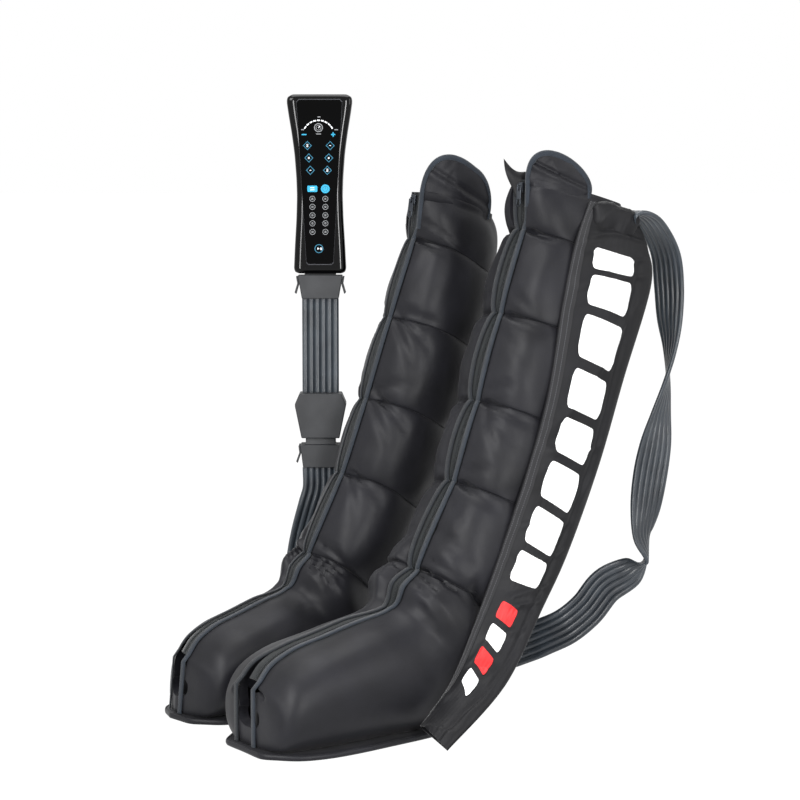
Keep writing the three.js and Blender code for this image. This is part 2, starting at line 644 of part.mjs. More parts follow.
function addHandset(put) {
  const { height, depth, wall } = HANDSET;
  const front = -depth / 2;
  const inside = depth / 2 - wall - GAP; // where the works stand against the rear housing
  const inner = HANDSET_SIDE.map(([x, z]) => [x - wall, mix(wall, height - wall, z / height)]);
  const hollow = prism(mirrored(inner), front + wall, -front - wall);
  const mouth = block(SPIGOT.width + 4 * GAP, SPIGOT.depth + 4 * GAP, 3 * wall, 0, 0, 0);
  const port = CHARGE_PORT;
  const portAt = (grow) =>
    block(port.width + grow, port.depth + grow, port.height + grow, port.x, port.y, height - port.height / 2);
  const seat = TOUCH_PANEL_SIDE.map(([x, z], i) => [x + GAP, z + (i < 2 ? -GAP : GAP)]);
  const recess = prism(mirrored(seat), front - wall, front + TOUCH_PANEL.thickness - TOUCH_PANEL.proud + GAP);
  const outline = mirrored(HANDSET_SIDE);
  put("front_housing", cut(prism(outline, front, -GAP / 2), hollow, mouth, recess), "housing");
  put("rear_housing", cut(prism(outline, GAP / 2, -front), hollow, mouth, portAt(2 * GAP)), "housing");
  const panelFront = front - TOUCH_PANEL.proud;
  const panel = prism(mirrored(TOUCH_PANEL_SIDE), panelFront, panelFront + TOUCH_PANEL.thickness);
  put("touch_panel", panel, "housing");
  const { air_socket: socket, ...blocks } = WORKS;
  const bore = block(SPIGOT.width + 2 * GAP, SPIGOT.depth + 2 * GAP, 22, 0, 0, 3);
  put("air_socket", cut(standing(socket, inside), bore), "plug");
  for (const [name, size] of Object.entries(blocks)) {
    put(name, standing(size, inside), name === "battery_pack" ? "battery" : "plug");
  }
  const motor = new THREE.CylinderGeometry(MOTOR.radius, MOTOR.radius, MOTOR.height, 16).rotateX(Math.PI / 2);
  put("pump_motor", motor.translate(0, inside - MOTOR.radius, MOTOR.foot + MOTOR.height / 2), "steel");
  const boardBack = front + wall + GAP + BOARD.thickness;
  const board = standing([BOARD.width, BOARD.thickness, BOARD.height, BOARD.foot], boardBack);
  put("circuit_board", board, "board");
  put("charge_port", portAt(0), "steel");
}

// A plug that narrows downwards: its half width at a height
const plugSide = (plug, z) => mix(plug.bottom, plug.top, z / plug.height);

function plugBody(plug, y) {
  const side = [[plug.bottom, 0], [plug.top, plug.height]];
  return prism(mirrored(side), y - plug.depth / 2, y + plug.depth / 2);
}

// Latch lever on the side of a plug, for x > 0: flush at its top, flared at its lower tip
function lever(plug, y) {
  const at = (share, out) => [plugSide(plug, share * plug.height) + out, share * plug.height];
  const { thickness, flare, pivot, depth } = LEVER;
  const outline = [
    at(pivot, GAP), at(0.2, flare), at(0.26, flare + thickness - 0.4),
    at(pivot + 0.03, GAP + thickness), at(0.95, GAP + thickness), at(0.95, GAP),
  ];
  return prism(outline, y - depth / 2, y + depth / 2);
}

function addLevers(put, name, plug, y) {
  put(name + "_right_lever", lever(plug, y), "plug");
  put(name + "_left_lever", lever(plug, -y).rotateZ(Math.PI), "plug");
}

function addSplitter(put) {
  const { depth } = SPLITTER;
  const outline = mirrored(SPLITTER_SIDE);
  const [width, thick] = LEG_PLUG.spigot;
  const recess = (y) => block(width + 2 * GAP, thick + 2 * GAP, 2 * (LEG_PLUG.reach + GAP), 0, y, 0);
  const { core } = SPLITTER;
  const chamber = standing(core.map((n, i) => (i < 3 ? n + 2 * GAP : n - GAP)), core[1] / 2 + GAP);
  const halves = { front: [-depth / 2, -GAP / 2, -LEG_PLUG.out], rear: [GAP / 2, depth / 2, LEG_PLUG.out] };
  for (const [name, [front, back, y]] of Object.entries(halves)) {
    put("splitter_" + name + "_shell", cut(prism(outline, front, back), chamber, recess(y)), "plug");
  }
  put("splitter_manifold", standing(core, core[1] / 2), "rubber");
}

// The set

const assembly = new THREE.Group();

function add(group, name, geometry, colour) {
  const mesh = new THREE.Mesh(geometry, material(colour));
  mesh.name = name;
  group.add(mesh);
  return mesh;
}

// Moves a boot's point to how the boot stands
function settlePoint(point, boot) {
  const above = Math.max(0, point.z - SOLE_THICKNESS - GAP);
  const inner = Math.max(0, point.y);
  const across = point.y + (boot.full - 1) * inner;
  const x = point.x * boot.long + boot.back * inner * boot.full;
  return point.set(x, across + boot.lean * above, point.z - above + above * boot.tall);
}

function settle(geometry, boot) {
  const place = geometry.attributes.position;
  for (let i = 0; i < place.count; i++) {
    const point = settlePoint(new THREE.Vector3().fromBufferAttribute(place, i), boot);
    place.setXYZ(i, point.x, point.y, point.z);
  }
  return geometry;
}

const tower = new THREE.Group();
tower.position.set(TOWER.x, TOWER.y, 0);
tower.rotation.z = rad(TOWER.turn);
tower.updateMatrix();
assembly.add(tower);

// Puts pieces into the tower with their foot at a height
const raise = (foot) => (name, geometry, colour) => add(tower, name, geometry.translate(0, 0, foot), colour);

for (const boot of BOOTS) {
  const group = new THREE.Group();
  group.position.set(...boot.place);
  group.rotation.z = rad(boot.turn);
  group.updateMatrix();
  boot.toLayout = (point) => point.applyMatrix4(group.matrix);
  const put = (name, geometry, colour) => add(group, boot.side + "_" + name, geometry, colour);
  const putSoft = (name, geometry, colour) => put(name, settle(geometry, boot), colour);
  CELL_NAMES.forEach((name, k) => putSoft(name, legCell(k), "cloth"));
  putSoft("foot_cell", footCell(), "cloth");
  putSoft("top_tongue", topTongue(boot), "cloth");
  const path = zipPath();
  putSoft("outer_binding", bindingStrip(path, -1), "binding");
  putSoft("inner_binding", bindingStrip(path, 1), "binding");
  putSoft("zipper_tape", zipperTape(path), "zipper");
  putSoft("toe_gusset", toeGusset(), "cloth");
  putSoft("sole_sheet", soleSheet(), "cloth");
  const place = sliderPlace(boot, path);
  put("zipper_slider", sliderBody().applyMatrix4(place), "metal");
  put("zipper_pull", sliderPull().translate(0, PULL_HINGE, 0).applyMatrix4(place), "metal");
  putSoft("sleeve_back", sleeveSheet(boot, SLEEVE.backCrown, 0), "cloth");
  putSoft("sleeve_front", sleeveSheet(boot, SLEEVE.crown, SLEEVE.cloth + GAP), "cloth");
  putSoft("sleeve_tubes", sleeveTubes(boot), "hose");
  assembly.add(group);
}

// The left boot's ribbon ends in the rear plug, the right boot's in the front one
const LEG_PLUGS = { rear: { boot: BOOTS[0], y: LEG_PLUG.out }, front: { boot: BOOTS[1], y: -LEG_PLUG.out } };
const splitterFoot = TOWER.base + LEG_PLUG.height + SPLITTER.gap;
for (const [name, { boot, y }] of Object.entries(LEG_PLUGS)) {
  const [width, thick] = LEG_PLUG.spigot;
  const reach = SPLITTER.gap + LEG_PLUG.reach + 1;
  const spigot = block(width, thick, reach, 0, y, LEG_PLUG.height - 1 + reach / 2);
  raise(TOWER.base)(name + "_leg_plug", join(plugBody(LEG_PLUG, y), spigot), "plug");
  addLevers(raise(TOWER.base), name + "_leg_plug", LEG_PLUG, y);
  const plug = v(0, y, TOWER.base - GAP).applyMatrix4(tower.matrix);
  add(assembly, boot.side + "_leg_ribbon", freeRibbon(boot, plug), "hose");
}
addSplitter(raise(splitterFoot));

const ribbonFoot = splitterFoot + SPLITTER.height + GAP;
const plugFoot = ribbonFoot + MAIN_RIBBON;
const upright = (z) => ({ point: v(0, 0, z), side: v(1, 0, 0), out: v(0, 1, 0) });
const mainRibbon = strip([upright(0), upright(MAIN_RIBBON - GAP)], ribbonProfile);
raise(ribbonFoot)("main_ribbon", mainRibbon, "hose");
const spigotReach = SPIGOT.length + 1;
const spigot = block(SPIGOT.width, SPIGOT.depth, spigotReach, 0, 0, PLUG.height - 1 + spigotReach / 2);
raise(plugFoot)("controller_plug", join(plugBody(PLUG, 0), spigot), "plug");
addLevers(raise(plugFoot), "controller_plug", PLUG, 0);
const { margin } = GASKET;
const rim = block(SPIGOT.width + 2 * margin, SPIGOT.depth + 2 * margin, GASKET.thickness, 0, 0, 0);
const eye = block(SPIGOT.width + 2 * GAP, SPIGOT.depth + 2 * GAP, 2 * GASKET.thickness, 0, 0, 0);
raise(plugFoot + PLUG.height + GAP + GASKET.thickness / 2)("plug_gasket", cut(rim, eye), "rubber");
addHandset(raise(plugFoot + PLUG.height + GASKET.thickness + 2 * GAP));

assembly.position.set(-SET_MIDDLE.x, -SET_MIDDLE.y, 0);

export default assembly;
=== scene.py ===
import math
from contextlib import contextmanager

import bmesh
import bpy
import numpy as np
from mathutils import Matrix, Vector, noise


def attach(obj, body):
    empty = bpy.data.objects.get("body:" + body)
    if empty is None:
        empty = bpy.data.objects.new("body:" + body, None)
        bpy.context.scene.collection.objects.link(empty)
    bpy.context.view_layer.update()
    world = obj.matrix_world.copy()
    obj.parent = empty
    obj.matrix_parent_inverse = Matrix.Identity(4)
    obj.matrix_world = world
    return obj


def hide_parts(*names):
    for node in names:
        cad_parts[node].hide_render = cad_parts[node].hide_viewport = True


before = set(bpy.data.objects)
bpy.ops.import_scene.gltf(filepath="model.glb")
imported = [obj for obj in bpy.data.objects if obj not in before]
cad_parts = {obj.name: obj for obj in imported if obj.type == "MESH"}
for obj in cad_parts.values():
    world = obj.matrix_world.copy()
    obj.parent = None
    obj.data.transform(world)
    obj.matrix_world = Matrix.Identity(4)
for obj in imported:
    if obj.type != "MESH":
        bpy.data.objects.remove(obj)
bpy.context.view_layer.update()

# Dimensions that the part's source has too

GAP = 0.3
SET_MIDDLE = np.array([105, 151, 0])
SOLE_THICKNESS = 8
SECTION_POWER = 0.8
CELL_SWELL = 13
CELL_WALL = 17
SEAM_WALL = 7
TOE_WALL = 14
ZIP_HALF_PINCHED = 7
ZIP_HALF_OPEN = 14
ZIP_SWELL = 0.7
BINDING_WIDTH = 8
CELL_NAMES = ["upper_thigh_cell", "lower_thigh_cell", "knee_cell", "calf_cell", "ankle_cell", "foot_cell"]

# Seam stations: zipper point x and z, back point x and z, half width, swell
LEG = np.array([
    [441, 742, 606, 700, 46], [439, 672, 598, 606, 60], [401, 558, 562, 496, 73],
    [362, 439, 518, 374, 77], [322, 330, 462, 256, 76], [261, 215, 376, 138, 72],
], float)
TOE_FACE = -2
TOE_STATION = 7
FOOT = np.array([
    [261, 215, 376, 138, 72, 0], [240, 190, 362, 62, 76, 13], [216, 166, 330, 0, 78, 0],
    [157, 151, 240, 0, 82, 5], [105, 138, 150, 0, 86, 5], [60, 127, 78, 0, 88, 5],
    [26, 112, 30, 0, 86, 3], [8, 94, 8, 0, 78, 0], [0, 84, 0, 8.3, 56, 0],
    [TOE_FACE, 62, TOE_FACE, 32, 27, 0],
], float)
SOLE_ENDS = (-12, 338)
SOLE_HALF_WIDTHS = np.array([50, 82, 93, 94.5, 92, 88, 84, 79, 71, 58, 32], float)

SLEEVE_HEM = np.array([
    [505, -60, 703], [476, -71, 655], [448, -80, 575], [415, -90, 450], [378, -91, 345],
    [336, -89, 240], [295, -90, 150], [252, -95, 72], [206, -97, 20],
], float)
SLEEVE_EDGE = np.array([
    [582, -80, 678], [592, -87, 645], [592, -94, 593], [540, -100, 468], [494, -105, 353],
    [438, -111, 240], [386, -123, 168], [306, -147, 76], [192, -175, 10],
], float)
SLEEVE_REST = -94
SLEEVE_STEPS = 14
SLEEVE_CLOTH = 1.6
SLEEVE_CROWN = 14
TUBE_PITCH = 9
TUBE_THICKNESS = 6.4
TUBES_LIFT = SLEEVE_CLOTH + 1 + 2 + TUBE_THICKNESS / 2

BOOTS = {
    "left": dict(
        side="left", place=(-195, 61, 0), turn=0,
        lean=0, long=1, tall=1, full=1, back=0, crown=1, crown_end=1.54, sleeve=-1, splay=1,
    ),
    "right": dict(
        side="right", place=(-191, 275, 0), turn=8,
        lean=-0.134, long=0.82, tall=0.975, full=0.7, back=0.45, crown=1.4,
        crown_end=1.95, sleeve=1, splay=0.15,
    ),
}

# Route of each free ribbon, in layout coordinates: a point, and the direction of its width
RIBBON_ROUTES = {
    "left": [
        [362, -22, 699, 0.3, -0.95, 0], [392, -20, 692, 0.17, -0.98, 0], [424, -12, 670, 0.17, -0.98, 0],
        [449, -6, 636, 0.17, -0.98, 0], [461, 0, 590, 0.17, -0.98, 0], [463, 0, 545, 0, -1, 0],
        [464, 0, 500, -0.4, -0.92, 0], [460, 2, 450, -0.76, -0.65, 0], [452, 4, 405, -0.95, -0.3, 0],
        [445, 6, 365, -1, 0.1, 0], [438, 8, 325, -0.97, 0.25, 0], [432, 10, 280, -1, 0.1, 0],
        [430, 14, 236, -0.93, -0.36, 0], [440, 18, 198, -0.6, -0.8, 0.1], [422, 32, 178, -0.3, -0.2, 0.93],
        [385, 42, 160, -0.45, 0.3, 0.85], [355, 48, 128, -0.45, 0.3, 0.85], [325, 58, 105, -0.3, 0.2, 0.93],
        [298, 85, 86, 0, 0, 1], [290, 130, 62, 0.3, 0, 0.95], [292, 180, 25, 0.85, 0, 0.5],
        [292, 235, 6.6, 1, 0, 0], [284, 330, 5.5, 0.97, 0.2, 0], [250, 420, 5.5, 0.7, 0.7, 0],
        [190, 470, 6, 0.3, 0.95, 0], [138, 486, 12, 0, 1, 0], [108, 468, 48, -0.1, 0.99, 0],
        [102, 442, 95, -0.35, 0.93, 0], [105, 424, 145, -0.6, 0.8, 0], [108, 413, 190, -0.75, 0.66, 0],
        [109, 403, 220, -0.83, 0.56, 0], [112, 390, 256, -0.83, 0.56, 0],
    ],
    "right": [
        [291, 309, 708, 0.7, 0.7, 0], [307, 317, 712, 0.2, 0.98, 0], [324, 330, 697, -0.3, 0.95, 0],
        [334, 338, 670, -0.35, 0.93, 0], [338, 343, 625, -0.35, 0.93, 0], [336, 344, 560, -0.3, 0.95, 0],
        [318, 334, 430, -0.2, 0.98, 0], [292, 318, 300, -0.3, 0.95, 0], [266, 302, 180, -0.6, 0.8, 0],
        [246, 289, 90, -0.9, 0.4, 0], [233, 287, 36, -1, 0.1, 0], [226, 300, 9, -1, 0, 0],
        [221, 330, 5.5, -0.97, -0.2, 0], [192, 385, 5.5, -0.7, -0.7, 0],
        [150, 418, 6, -0.2, -0.98, 0], [112, 427, 16, 0, -1, 0], [88, 422, 50, 0.2, -0.98, 0],
        [89, 413, 100, 0.4, -0.9, 0], [94, 404, 145, 0.6, -0.8, 0], [97, 396, 190, 0.75, -0.66, 0],
        [98, 386, 220, 0.83, -0.56, 0], [101, 373, 256, 0.83, -0.56, 0],
    ],
}
RIBBON_DROP = 32
HOOD_HALF_WIDTH = 36

TOWER_PLACE = (112, 376)
TOWER_TURN = math.radians(-34)
TOWER_BASE = 317
LEG_PLUG_HEIGHT = 34
LEG_PLUG_OUT = 10
SPLITTER_FOOT = TOWER_BASE + LEG_PLUG_HEIGHT + 10
MAIN_RIBBON_FOOT = SPLITTER_FOOT + 66 + GAP
MAIN_RIBBON = 139
PLUG_FOOT = MAIN_RIBBON_FOOT + MAIN_RIBBON
HANDSET_FOOT = PLUG_FOOT + 35 + 1.7 + 2 * GAP
HANDSET_SIDE = np.array([
    [35, 0], [38, 2], [38.5, 8], [37, 40], [34.6, 80], [33.6, 114], [34.4, 140],
    [37, 175], [41, 205], [45.5, 232], [48, 250], [47.2, 257], [43, 261],
], float)
HANDSET_HEIGHT = 261
HANDSET_DEPTH = 31
MARK_LIFT = 0.22
MARK_THICKNESS = 0.14
TOUCH_PANEL_SIDE = np.array([[17, 13], [20, 16], [33.5, 250], [30, 254]], float)

# Sizes of the scene's own detail

# Grid of the cloth: columns round a boot, rows down each leg cell and down the foot
COLUMNS = 112
ROWS = 22
LEG_ROWS = 5 * ROWS
FOOT_ROWS = 60
LEG_CELLS = 5
FOOT_END = 9
# Swell: share kept at the seams, more at the inner ankle and at the top, and the toe's open slot
SEAM_FADE = 0.5
INNER_SWELL = 16
TOP_SWELL = 10
TOE_SPREAD = 16
TOE_SPREAD_ANGLE = 0.21
# About how far apart two seams are, and how far it is round a boot
SEAM_STEP = 105
BOOT_ROUND = 520
# Cloth simulation: frames, share of its shift that is used, smoothing passes, furthest shift, air pressure
CLOTH_FRAMES = 4
CLOTH_SHARE = 0.8
CLOTH_SMOOTHING = 3
CLOTH_REACH = 9
CLOTH_PRESSURE = 3
CLOTH_SEEDS = {"left": 7, "right": 11}
CLOTH_SETTINGS = {
    "quality": 9, "mass": 0.25, "tension_stiffness": 18, "compression_stiffness": 18, "shear_stiffness": 6,
    "bending_stiffness": 0.25, "tension_damping": 8, "compression_damping": 8, "bending_damping": 0.5,
    "air_damping": 2, "pin_stiffness": 1, "shrink_min": -0.04,
}
# The rounded top of the outer side: rise, thickness at its edge and extra thickness inside
TONGUE_HEIGHT = 44
TONGUE_EDGE = 4
TONGUE_PAD = 13
# Sleeves: flat size in metres, share of the front that is rolled over the top, and plain length and width
SLEEVE_TOP = 0.035
SLEEVE_LENGTH = 790
SLEEVE_WIDTH = 110
SLEEVE_SHEET = 1.3
# Fine steps down a sleeve, and how many of them its tubes reach
SLEEVE_FINE_STEPS = 84
SLEEVE_TUBE_STEPS = 67
# Plain printed bars down the sleeve: share of its length, half length, start and end across, finish
PRINTS = [
    *[(0.178 + 0.069 * i, 0.0275, 0.22, 0.72, "white_print") for i in range(8)],
    *[(0.748 + 0.044 * i, 0.016, 0.26, 0.6, "white_print" if i % 2 else "red_print") for i in range(4)],
]
PRINT_SLANT = 0.034
RIBBON_POINTS = 260
ZIP_FOOT_POINTS = 90
TOOTH_PITCH = 2.1

# Materials


def linear(colour):
    """A colour given as it appears on screen, 0 to 255."""
    return tuple((c / 255) ** 2.2 for c in colour) + (1,)


class Nodes:
    """A node tree, with helpers to wire it."""

    def __init__(self, tree):
        self.tree = tree

    def node(self, kind, **settings):
        made = self.tree.nodes.new("ShaderNode" + kind)
        for key, value in settings.items():
            if hasattr(made, key):
                setattr(made, key, value)
            else:
                made.inputs[key.replace("_", " ")].default_value = value
        return made

    def link(self, source, target):
        self.tree.links.new(source, target)

    def math(self, operation, a, b=None):
        made = self.node("Math", operation=operation)
        for socket, value in zip(made.inputs, (a, b)):
            if isinstance(value, (int, float)):
                socket.default_value = value
            elif value is not None:
                self.link(value, socket)
        return made.outputs[0]

    def seen(self):
        """One where the camera, gloss or glass sees it, and nought for soft light."""
        ray = self.node("LightPath").outputs
        either = self.math("MAXIMUM", ray["Is Camera Ray"], ray["Is Glossy Ray"])
        return self.math("MAXIMUM", either, ray["Is Transmission Ray"])

    def blend(self, share, first, second, output):
        """Shows two shaders, mixed by a share."""
        mix = self.node("MixShader")
        for socket, source in zip(mix.inputs, (share, first, second)):
            self.link(source, socket)
        self.link(mix.outputs[0], self.tree.nodes[output].inputs["Surface"])


class Finish(Nodes):
    """A material, with helpers to wire procedural detail into it."""

    def __init__(self, name, rough, metal=0.0, specular=0.5, sheen=0.0, coat=0.0):
        self.material = bpy.data.materials.new(name)
        self.material.use_nodes = True
        super().__init__(self.material.node_tree)
        self.shader = self.tree.nodes["Principled BSDF"]
        for key, value in [
            ("Roughness", rough), ("Metallic", metal), ("Specular IOR Level", specular),
            ("Sheen Weight", sheen), ("Coat Weight", coat),
        ]:
            self.shader.inputs[key].default_value = value
        self.normal = None

    def place(self, kind="Object"):
        return self.node("TexCoord").outputs[kind]

    def noise(self, scale, detail):
        made = self.node("TexNoise", Scale=scale, Detail=detail)
        self.link(self.place(), made.inputs["Vector"])
        return made.outputs["Fac"]

    def wave(self, period, direction, place=None):
        made = self.node("TexWave", bands_direction=direction, Scale=0.314 / period)
        self.link(place or self.place(), made.inputs["Vector"])
        return made.outputs["Fac"]

    def colours(self, factor, stops):
        ramp = self.node("ValToRGB")
        for element, (position, colour) in zip(ramp.color_ramp.elements, stops):
            element.position = position
            element.color = colour
        self.link(factor, ramp.inputs["Fac"])
        return ramp.outputs["Color"]

    def paint(self, factor, stops):
        self.link(self.colours(factor, stops), self.shader.inputs["Base Color"])

    def rough(self, factor, low, high):
        spread = self.node("MapRange", To_Min=low, To_Max=high)
        self.link(factor, spread.inputs["Value"])
        self.link(spread.outputs["Result"], self.shader.inputs["Roughness"])

    def bump(self, height, distance, strength):
        made = self.node("Bump", Distance=distance, Strength=strength)
        self.link(height, made.inputs["Height"])
        if self.normal:
            self.link(self.normal, made.inputs["Normal"])
        self.normal = made.outputs["Normal"]
        self.link(self.normal, self.shader.inputs["Normal"])


def cloth_finish(name, dark, light, rough=(0.4, 0.54)):
    """Fine plain-woven nylon: slow tone changes, small crinkles and a weave."""
    made = Finish(name, rough[0], sheen=0.05, specular=0.2)
    made.shader.inputs["Sheen Roughness"].default_value = 0.45
    made.paint(made.noise(14, 5), [(0.3, linear(dark)), (0.72, linear(light))])
    made.rough(made.noise(38, 3), *rough)
    made.bump(made.noise(55, 5), 0.0006, 0.5)
    weave = made.math("MULTIPLY", made.wave(0.0009, "X"), made.wave(0.0009, "Z"))
    made.bump(weave, 0.00006, 0.4)
    return made


def strip_finish(name, dark, light, stitch, rib, rows, pitch):
    """Woven edge tape with ribs across it and rows of stitches along it, by its own length and width."""
    made = Finish(name, 0.75, sheen=0.2, specular=0.3)
    place = made.place("UV")
    parts = made.node("SeparateXYZ")
    made.link(place, parts.inputs[0])
    along, across = parts.outputs["X"], parts.outputs["Y"]
    ribs = made.wave(rib, "X", place)
    tone = made.math("ADD", made.math("MULTIPLY", ribs, 0.45), made.math("MULTIPLY", made.noise(60, 3), 0.55))
    cloth = made.colours(tone, [(0.2, linear(dark)), (0.8, linear(light))])
    thread = made.math("LESS_THAN", made.math("FRACT", made.math("DIVIDE", along, pitch)), 0.62)
    near = None
    for row in rows:
        close = made.math("LESS_THAN", made.math("ABSOLUTE", made.math("SUBTRACT", across, row)), 0.00045)
        near = close if near is None else made.math("MAXIMUM", near, close)
    thread = made.math("MULTIPLY", thread, near)
    blend = made.node("Mix", data_type="RGBA")
    made.link(thread, blend.inputs["Factor"])
    made.link(cloth, blend.inputs[6])
    blend.inputs[7].default_value = linear(stitch)
    made.link(blend.outputs[2], made.shader.inputs["Base Color"])
    made.bump(ribs, 0.0002, 0.6)
    made.bump(thread, 0.0004, 0.8)
    return made


def moulded_finish(name, dark, light, rough, specular=0.4, coat=0.0, grain=0.0, metal=0.0):
    """Moulded plastic, rubber or metal: slight tone and gloss changes, and a fine grain."""
    made = Finish(name, rough, metal=metal, specular=specular, coat=coat)
    made.shader.inputs["Coat Roughness"].default_value = 0.04
    made.paint(made.noise(25, 4), [(0.3, linear(dark)), (0.75, linear(light))])
    made.rough(made.noise(90, 3), rough * 0.85, rough * 1.2)
    if grain:
        made.bump(made.noise(1800, 2), grain, 0.5)
    return made


def lit_finish(name, colour, strength):
    """A softly glowing mark."""
    made = Finish(name, 0.4)
    full = linear(colour)
    dimmed = tuple(c * 0.85 for c in full[:3]) + (1,)
    tone = made.colours(made.noise(400, 2), [(0.3, full), (0.8, dimmed)])
    made.link(tone, made.shader.inputs["Base Color"])
    made.link(tone, made.shader.inputs["Emission Color"])
    made.shader.inputs["Emission Strength"].default_value = strength
    return made


FINISHES = {
    "cloth": cloth_finish("boot_cloth", (22, 22, 25), (32, 32, 36)),
    "lining": cloth_finish("lining_cloth", (18, 18, 20), (26, 26, 28)),
    "sleeve": cloth_finish("sleeve_cloth", (17, 17, 19), (25, 25, 28), rough=(0.45, 0.6)),
    # Name, dark, light and stitch colours, rib width, places of the stitch rows, stitch pitch
    "binding": strip_finish(
        "edge_tape", (23, 28, 34), (39, 46, 55), (16, 20, 24), 0.0016, (0.0044, 0.0081), 0.003,
    ),
    # Darker copy of the edge tape for the inner bound edge: painted shade, same tape as the outer edge
    "shaded_binding": strip_finish(
        "inner_edge_tape", (15, 18, 22), (28, 33, 39), (11, 14, 17), 0.0016, (0.0044, 0.0081), 0.003,
    ),
    "zipper": strip_finish(
        "zipper_cloth", (11, 14, 15), (24, 29, 31), (34, 40, 44), 0.0012, (0.006,), 0.0024,
    ),
    "hem": strip_finish(
        "sleeve_hem", (26, 26, 28), (38, 38, 40), (70, 70, 74), 0.0011, (0.0022, 0.0088), 0.0032,
    ),
    "coil": moulded_finish("zipper_coil", (18, 20, 22), (34, 38, 40), 0.35, grain=0.00003),
    "metal": moulded_finish("zipper_metal", (52, 55, 60), (84, 88, 94), 0.32, metal=0.8),
    "hose": moulded_finish("air_tube", (40, 44, 49), (58, 64, 70), 0.34, specular=0.5, grain=0.00002),
    "housing": moulded_finish("gloss_black", (5, 5, 6), (9, 9, 10), 0.07, specular=0.15, coat=0.12),
    "panel": moulded_finish("touch_glass", (3, 3, 4), (5, 5, 6), 0.05, specular=0.08),
    # Grey line round the touch panel: painted highlight for the panel's bevelled edge
    "edge_highlight": moulded_finish("panel_edge_highlight", (58, 59, 62), (74, 75, 79), 0.25, specular=0.3, grain=0.00002),
    "plug": moulded_finish("matte_plastic", (40, 41, 43), (52, 53, 55), 0.52, specular=0.35, grain=0.00006),
    "board": moulded_finish("board_green", (20, 66, 40), (34, 92, 58), 0.55, grain=0.00004),
    "battery": moulded_finish("battery_wrap", (78, 90, 104), (104, 116, 130), 0.4, grain=0.00003),
    "steel": moulded_finish("brushed_steel", (140, 142, 146), (176, 178, 182), 0.3, metal=0.9),
    "rubber": moulded_finish("black_rubber", (22, 23, 24), (32, 33, 34), 0.7, grain=0.00008),
    "white_print": moulded_finish("white_print", (236, 236, 236), (248, 248, 248), 0.55, grain=0.00003),
    "red_print": moulded_finish("red_print", (205, 26, 30), (226, 40, 40), 0.5, grain=0.00003),
    "icon_white": lit_finish("icon_white", (215, 218, 220), 0.5),
    "icon_grey": lit_finish("icon_grey", (120, 122, 124), 0.5),
    "icon_blue": lit_finish("icon_blue", (20, 138, 172), 0.6),
    "icon_teal": lit_finish("icon_teal", (13, 90, 114), 0.7),
}

# Meshes


def linked(name, data):
    made = bpy.data.objects.new(name, data)
    bpy.context.collection.objects.link(made)
    return made


@contextmanager
def edited(mesh):
    bm = bmesh.new()
    bm.from_mesh(mesh)
    yield bm
    bm.to_mesh(mesh)
    bm.free()


def finished(mesh, finish, sharp):
    """Gives a mesh its only finish, smooth up to an angle in degrees."""
    mesh.materials.clear()
    mesh.materials.append(FINISHES[finish].material)
    mesh.polygons.foreach_set("use_smooth", [True] * len(mesh.polygons))
    mesh.set_sharp_from_angle(angle=math.radians(sharp))


def piece(name, points, faces, finish, body, sharp, uvs=None):
    """A piece of the scene from points in millimetres of the part's frame."""
    mesh = bpy.data.meshes.new(name)
    mesh.from_pydata((np.asarray(points, float).reshape(-1, 3) / 1000).tolist(), [], faces)
    if uvs is not None:
        flat = np.asarray(uvs, float).reshape(-1, 2)
        corners = np.empty(len(mesh.loops), int)
        mesh.loops.foreach_get("vertex_index", corners)
        mesh.uv_layers.new(name="strip").data.foreach_set("uv", flat[corners].ravel())
    with edited(mesh) as bm:
        bmesh.ops.recalc_face_normals(bm, faces=bm.faces)
    finished(mesh, finish, sharp)
    made = linked(name, mesh)
    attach(made, body)
    return made


def refined(node, finish, body, width):
    """A copy of a rigid CAD node that takes its place, with edges bevelled by a width."""
    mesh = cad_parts[node].data.copy()
    with edited(mesh) as bm:
        bmesh.ops.remove_doubles(bm, verts=bm.verts, dist=2e-6)
        bmesh.ops.dissolve_limit(bm, angle_limit=math.radians(1), verts=bm.verts, edges=bm.edges)
    finished(mesh, finish, 50)
    made = linked(node + "_shaped", mesh)
    bevel = made.modifiers.new("edges", "BEVEL")
    bevel.width = width / 1000
    bevel.segments = 3
    bevel.limit_method = "ANGLE"
    bevel.angle_limit = math.radians(30)
    bevel.use_clamp_overlap = True
    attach(made, body)
    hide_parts(node)


def loft_faces(count, around):
    """Faces of a closed skin through rings of points, with both ends filled."""
    faces = []
    for i in range(count - 1):
        for j in range(around):
            a, b = i * around + j, i * around + (j + 1) % around
            faces.append((a, b, b + around, a + around))
    for base in (0, (count - 1) * around):
        for j in range(around // 2 - 1):
            faces.append((base + j, base + j + 1, base + around - 2 - j, base + around - 1 - j))
    return faces


def run_of(points):
    """Length run along a line of points at each of them."""
    return np.concatenate([[0], np.cumsum(np.linalg.norm(np.diff(points, axis=0), axis=1))])


def at_runs(at, run, points):
    """Points at given lengths along a line with known runs."""
    return np.stack([np.interp(at, run, points[:, i]) for i in range(points.shape[1])], axis=-1)


def loft(name, rings, finish, body, sharp, node=None):
    """A closed skin through rings of points, with its length and width kept for the finish."""
    rings = np.asarray(rings, float)
    along, across = run_of(rings.mean(axis=1)), run_of(rings[len(rings) // 2])
    uvs = stacked(along[:, None], across[None, :]) / 1000
    made = piece(name, rings, loft_faces(*rings.shape[:2]), finish, body, sharp, uvs)
    if node:
        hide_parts(node)
    return made


def boot_skin(boot, name, rings, finish, sharp, node=None):
    """A closed skin on a boot, from rings of its plain form."""
    side = boot["side"]
    node = node and f"{side}_{node}"
    return loft(f"{side}_{name}", settle(rings, boot), finish, "boots", sharp, node)


def sandwich(front, back):
    """Rings of a sheet between its front and its back, row by row."""
    return np.concatenate([front, back[:, ::-1]], axis=1)


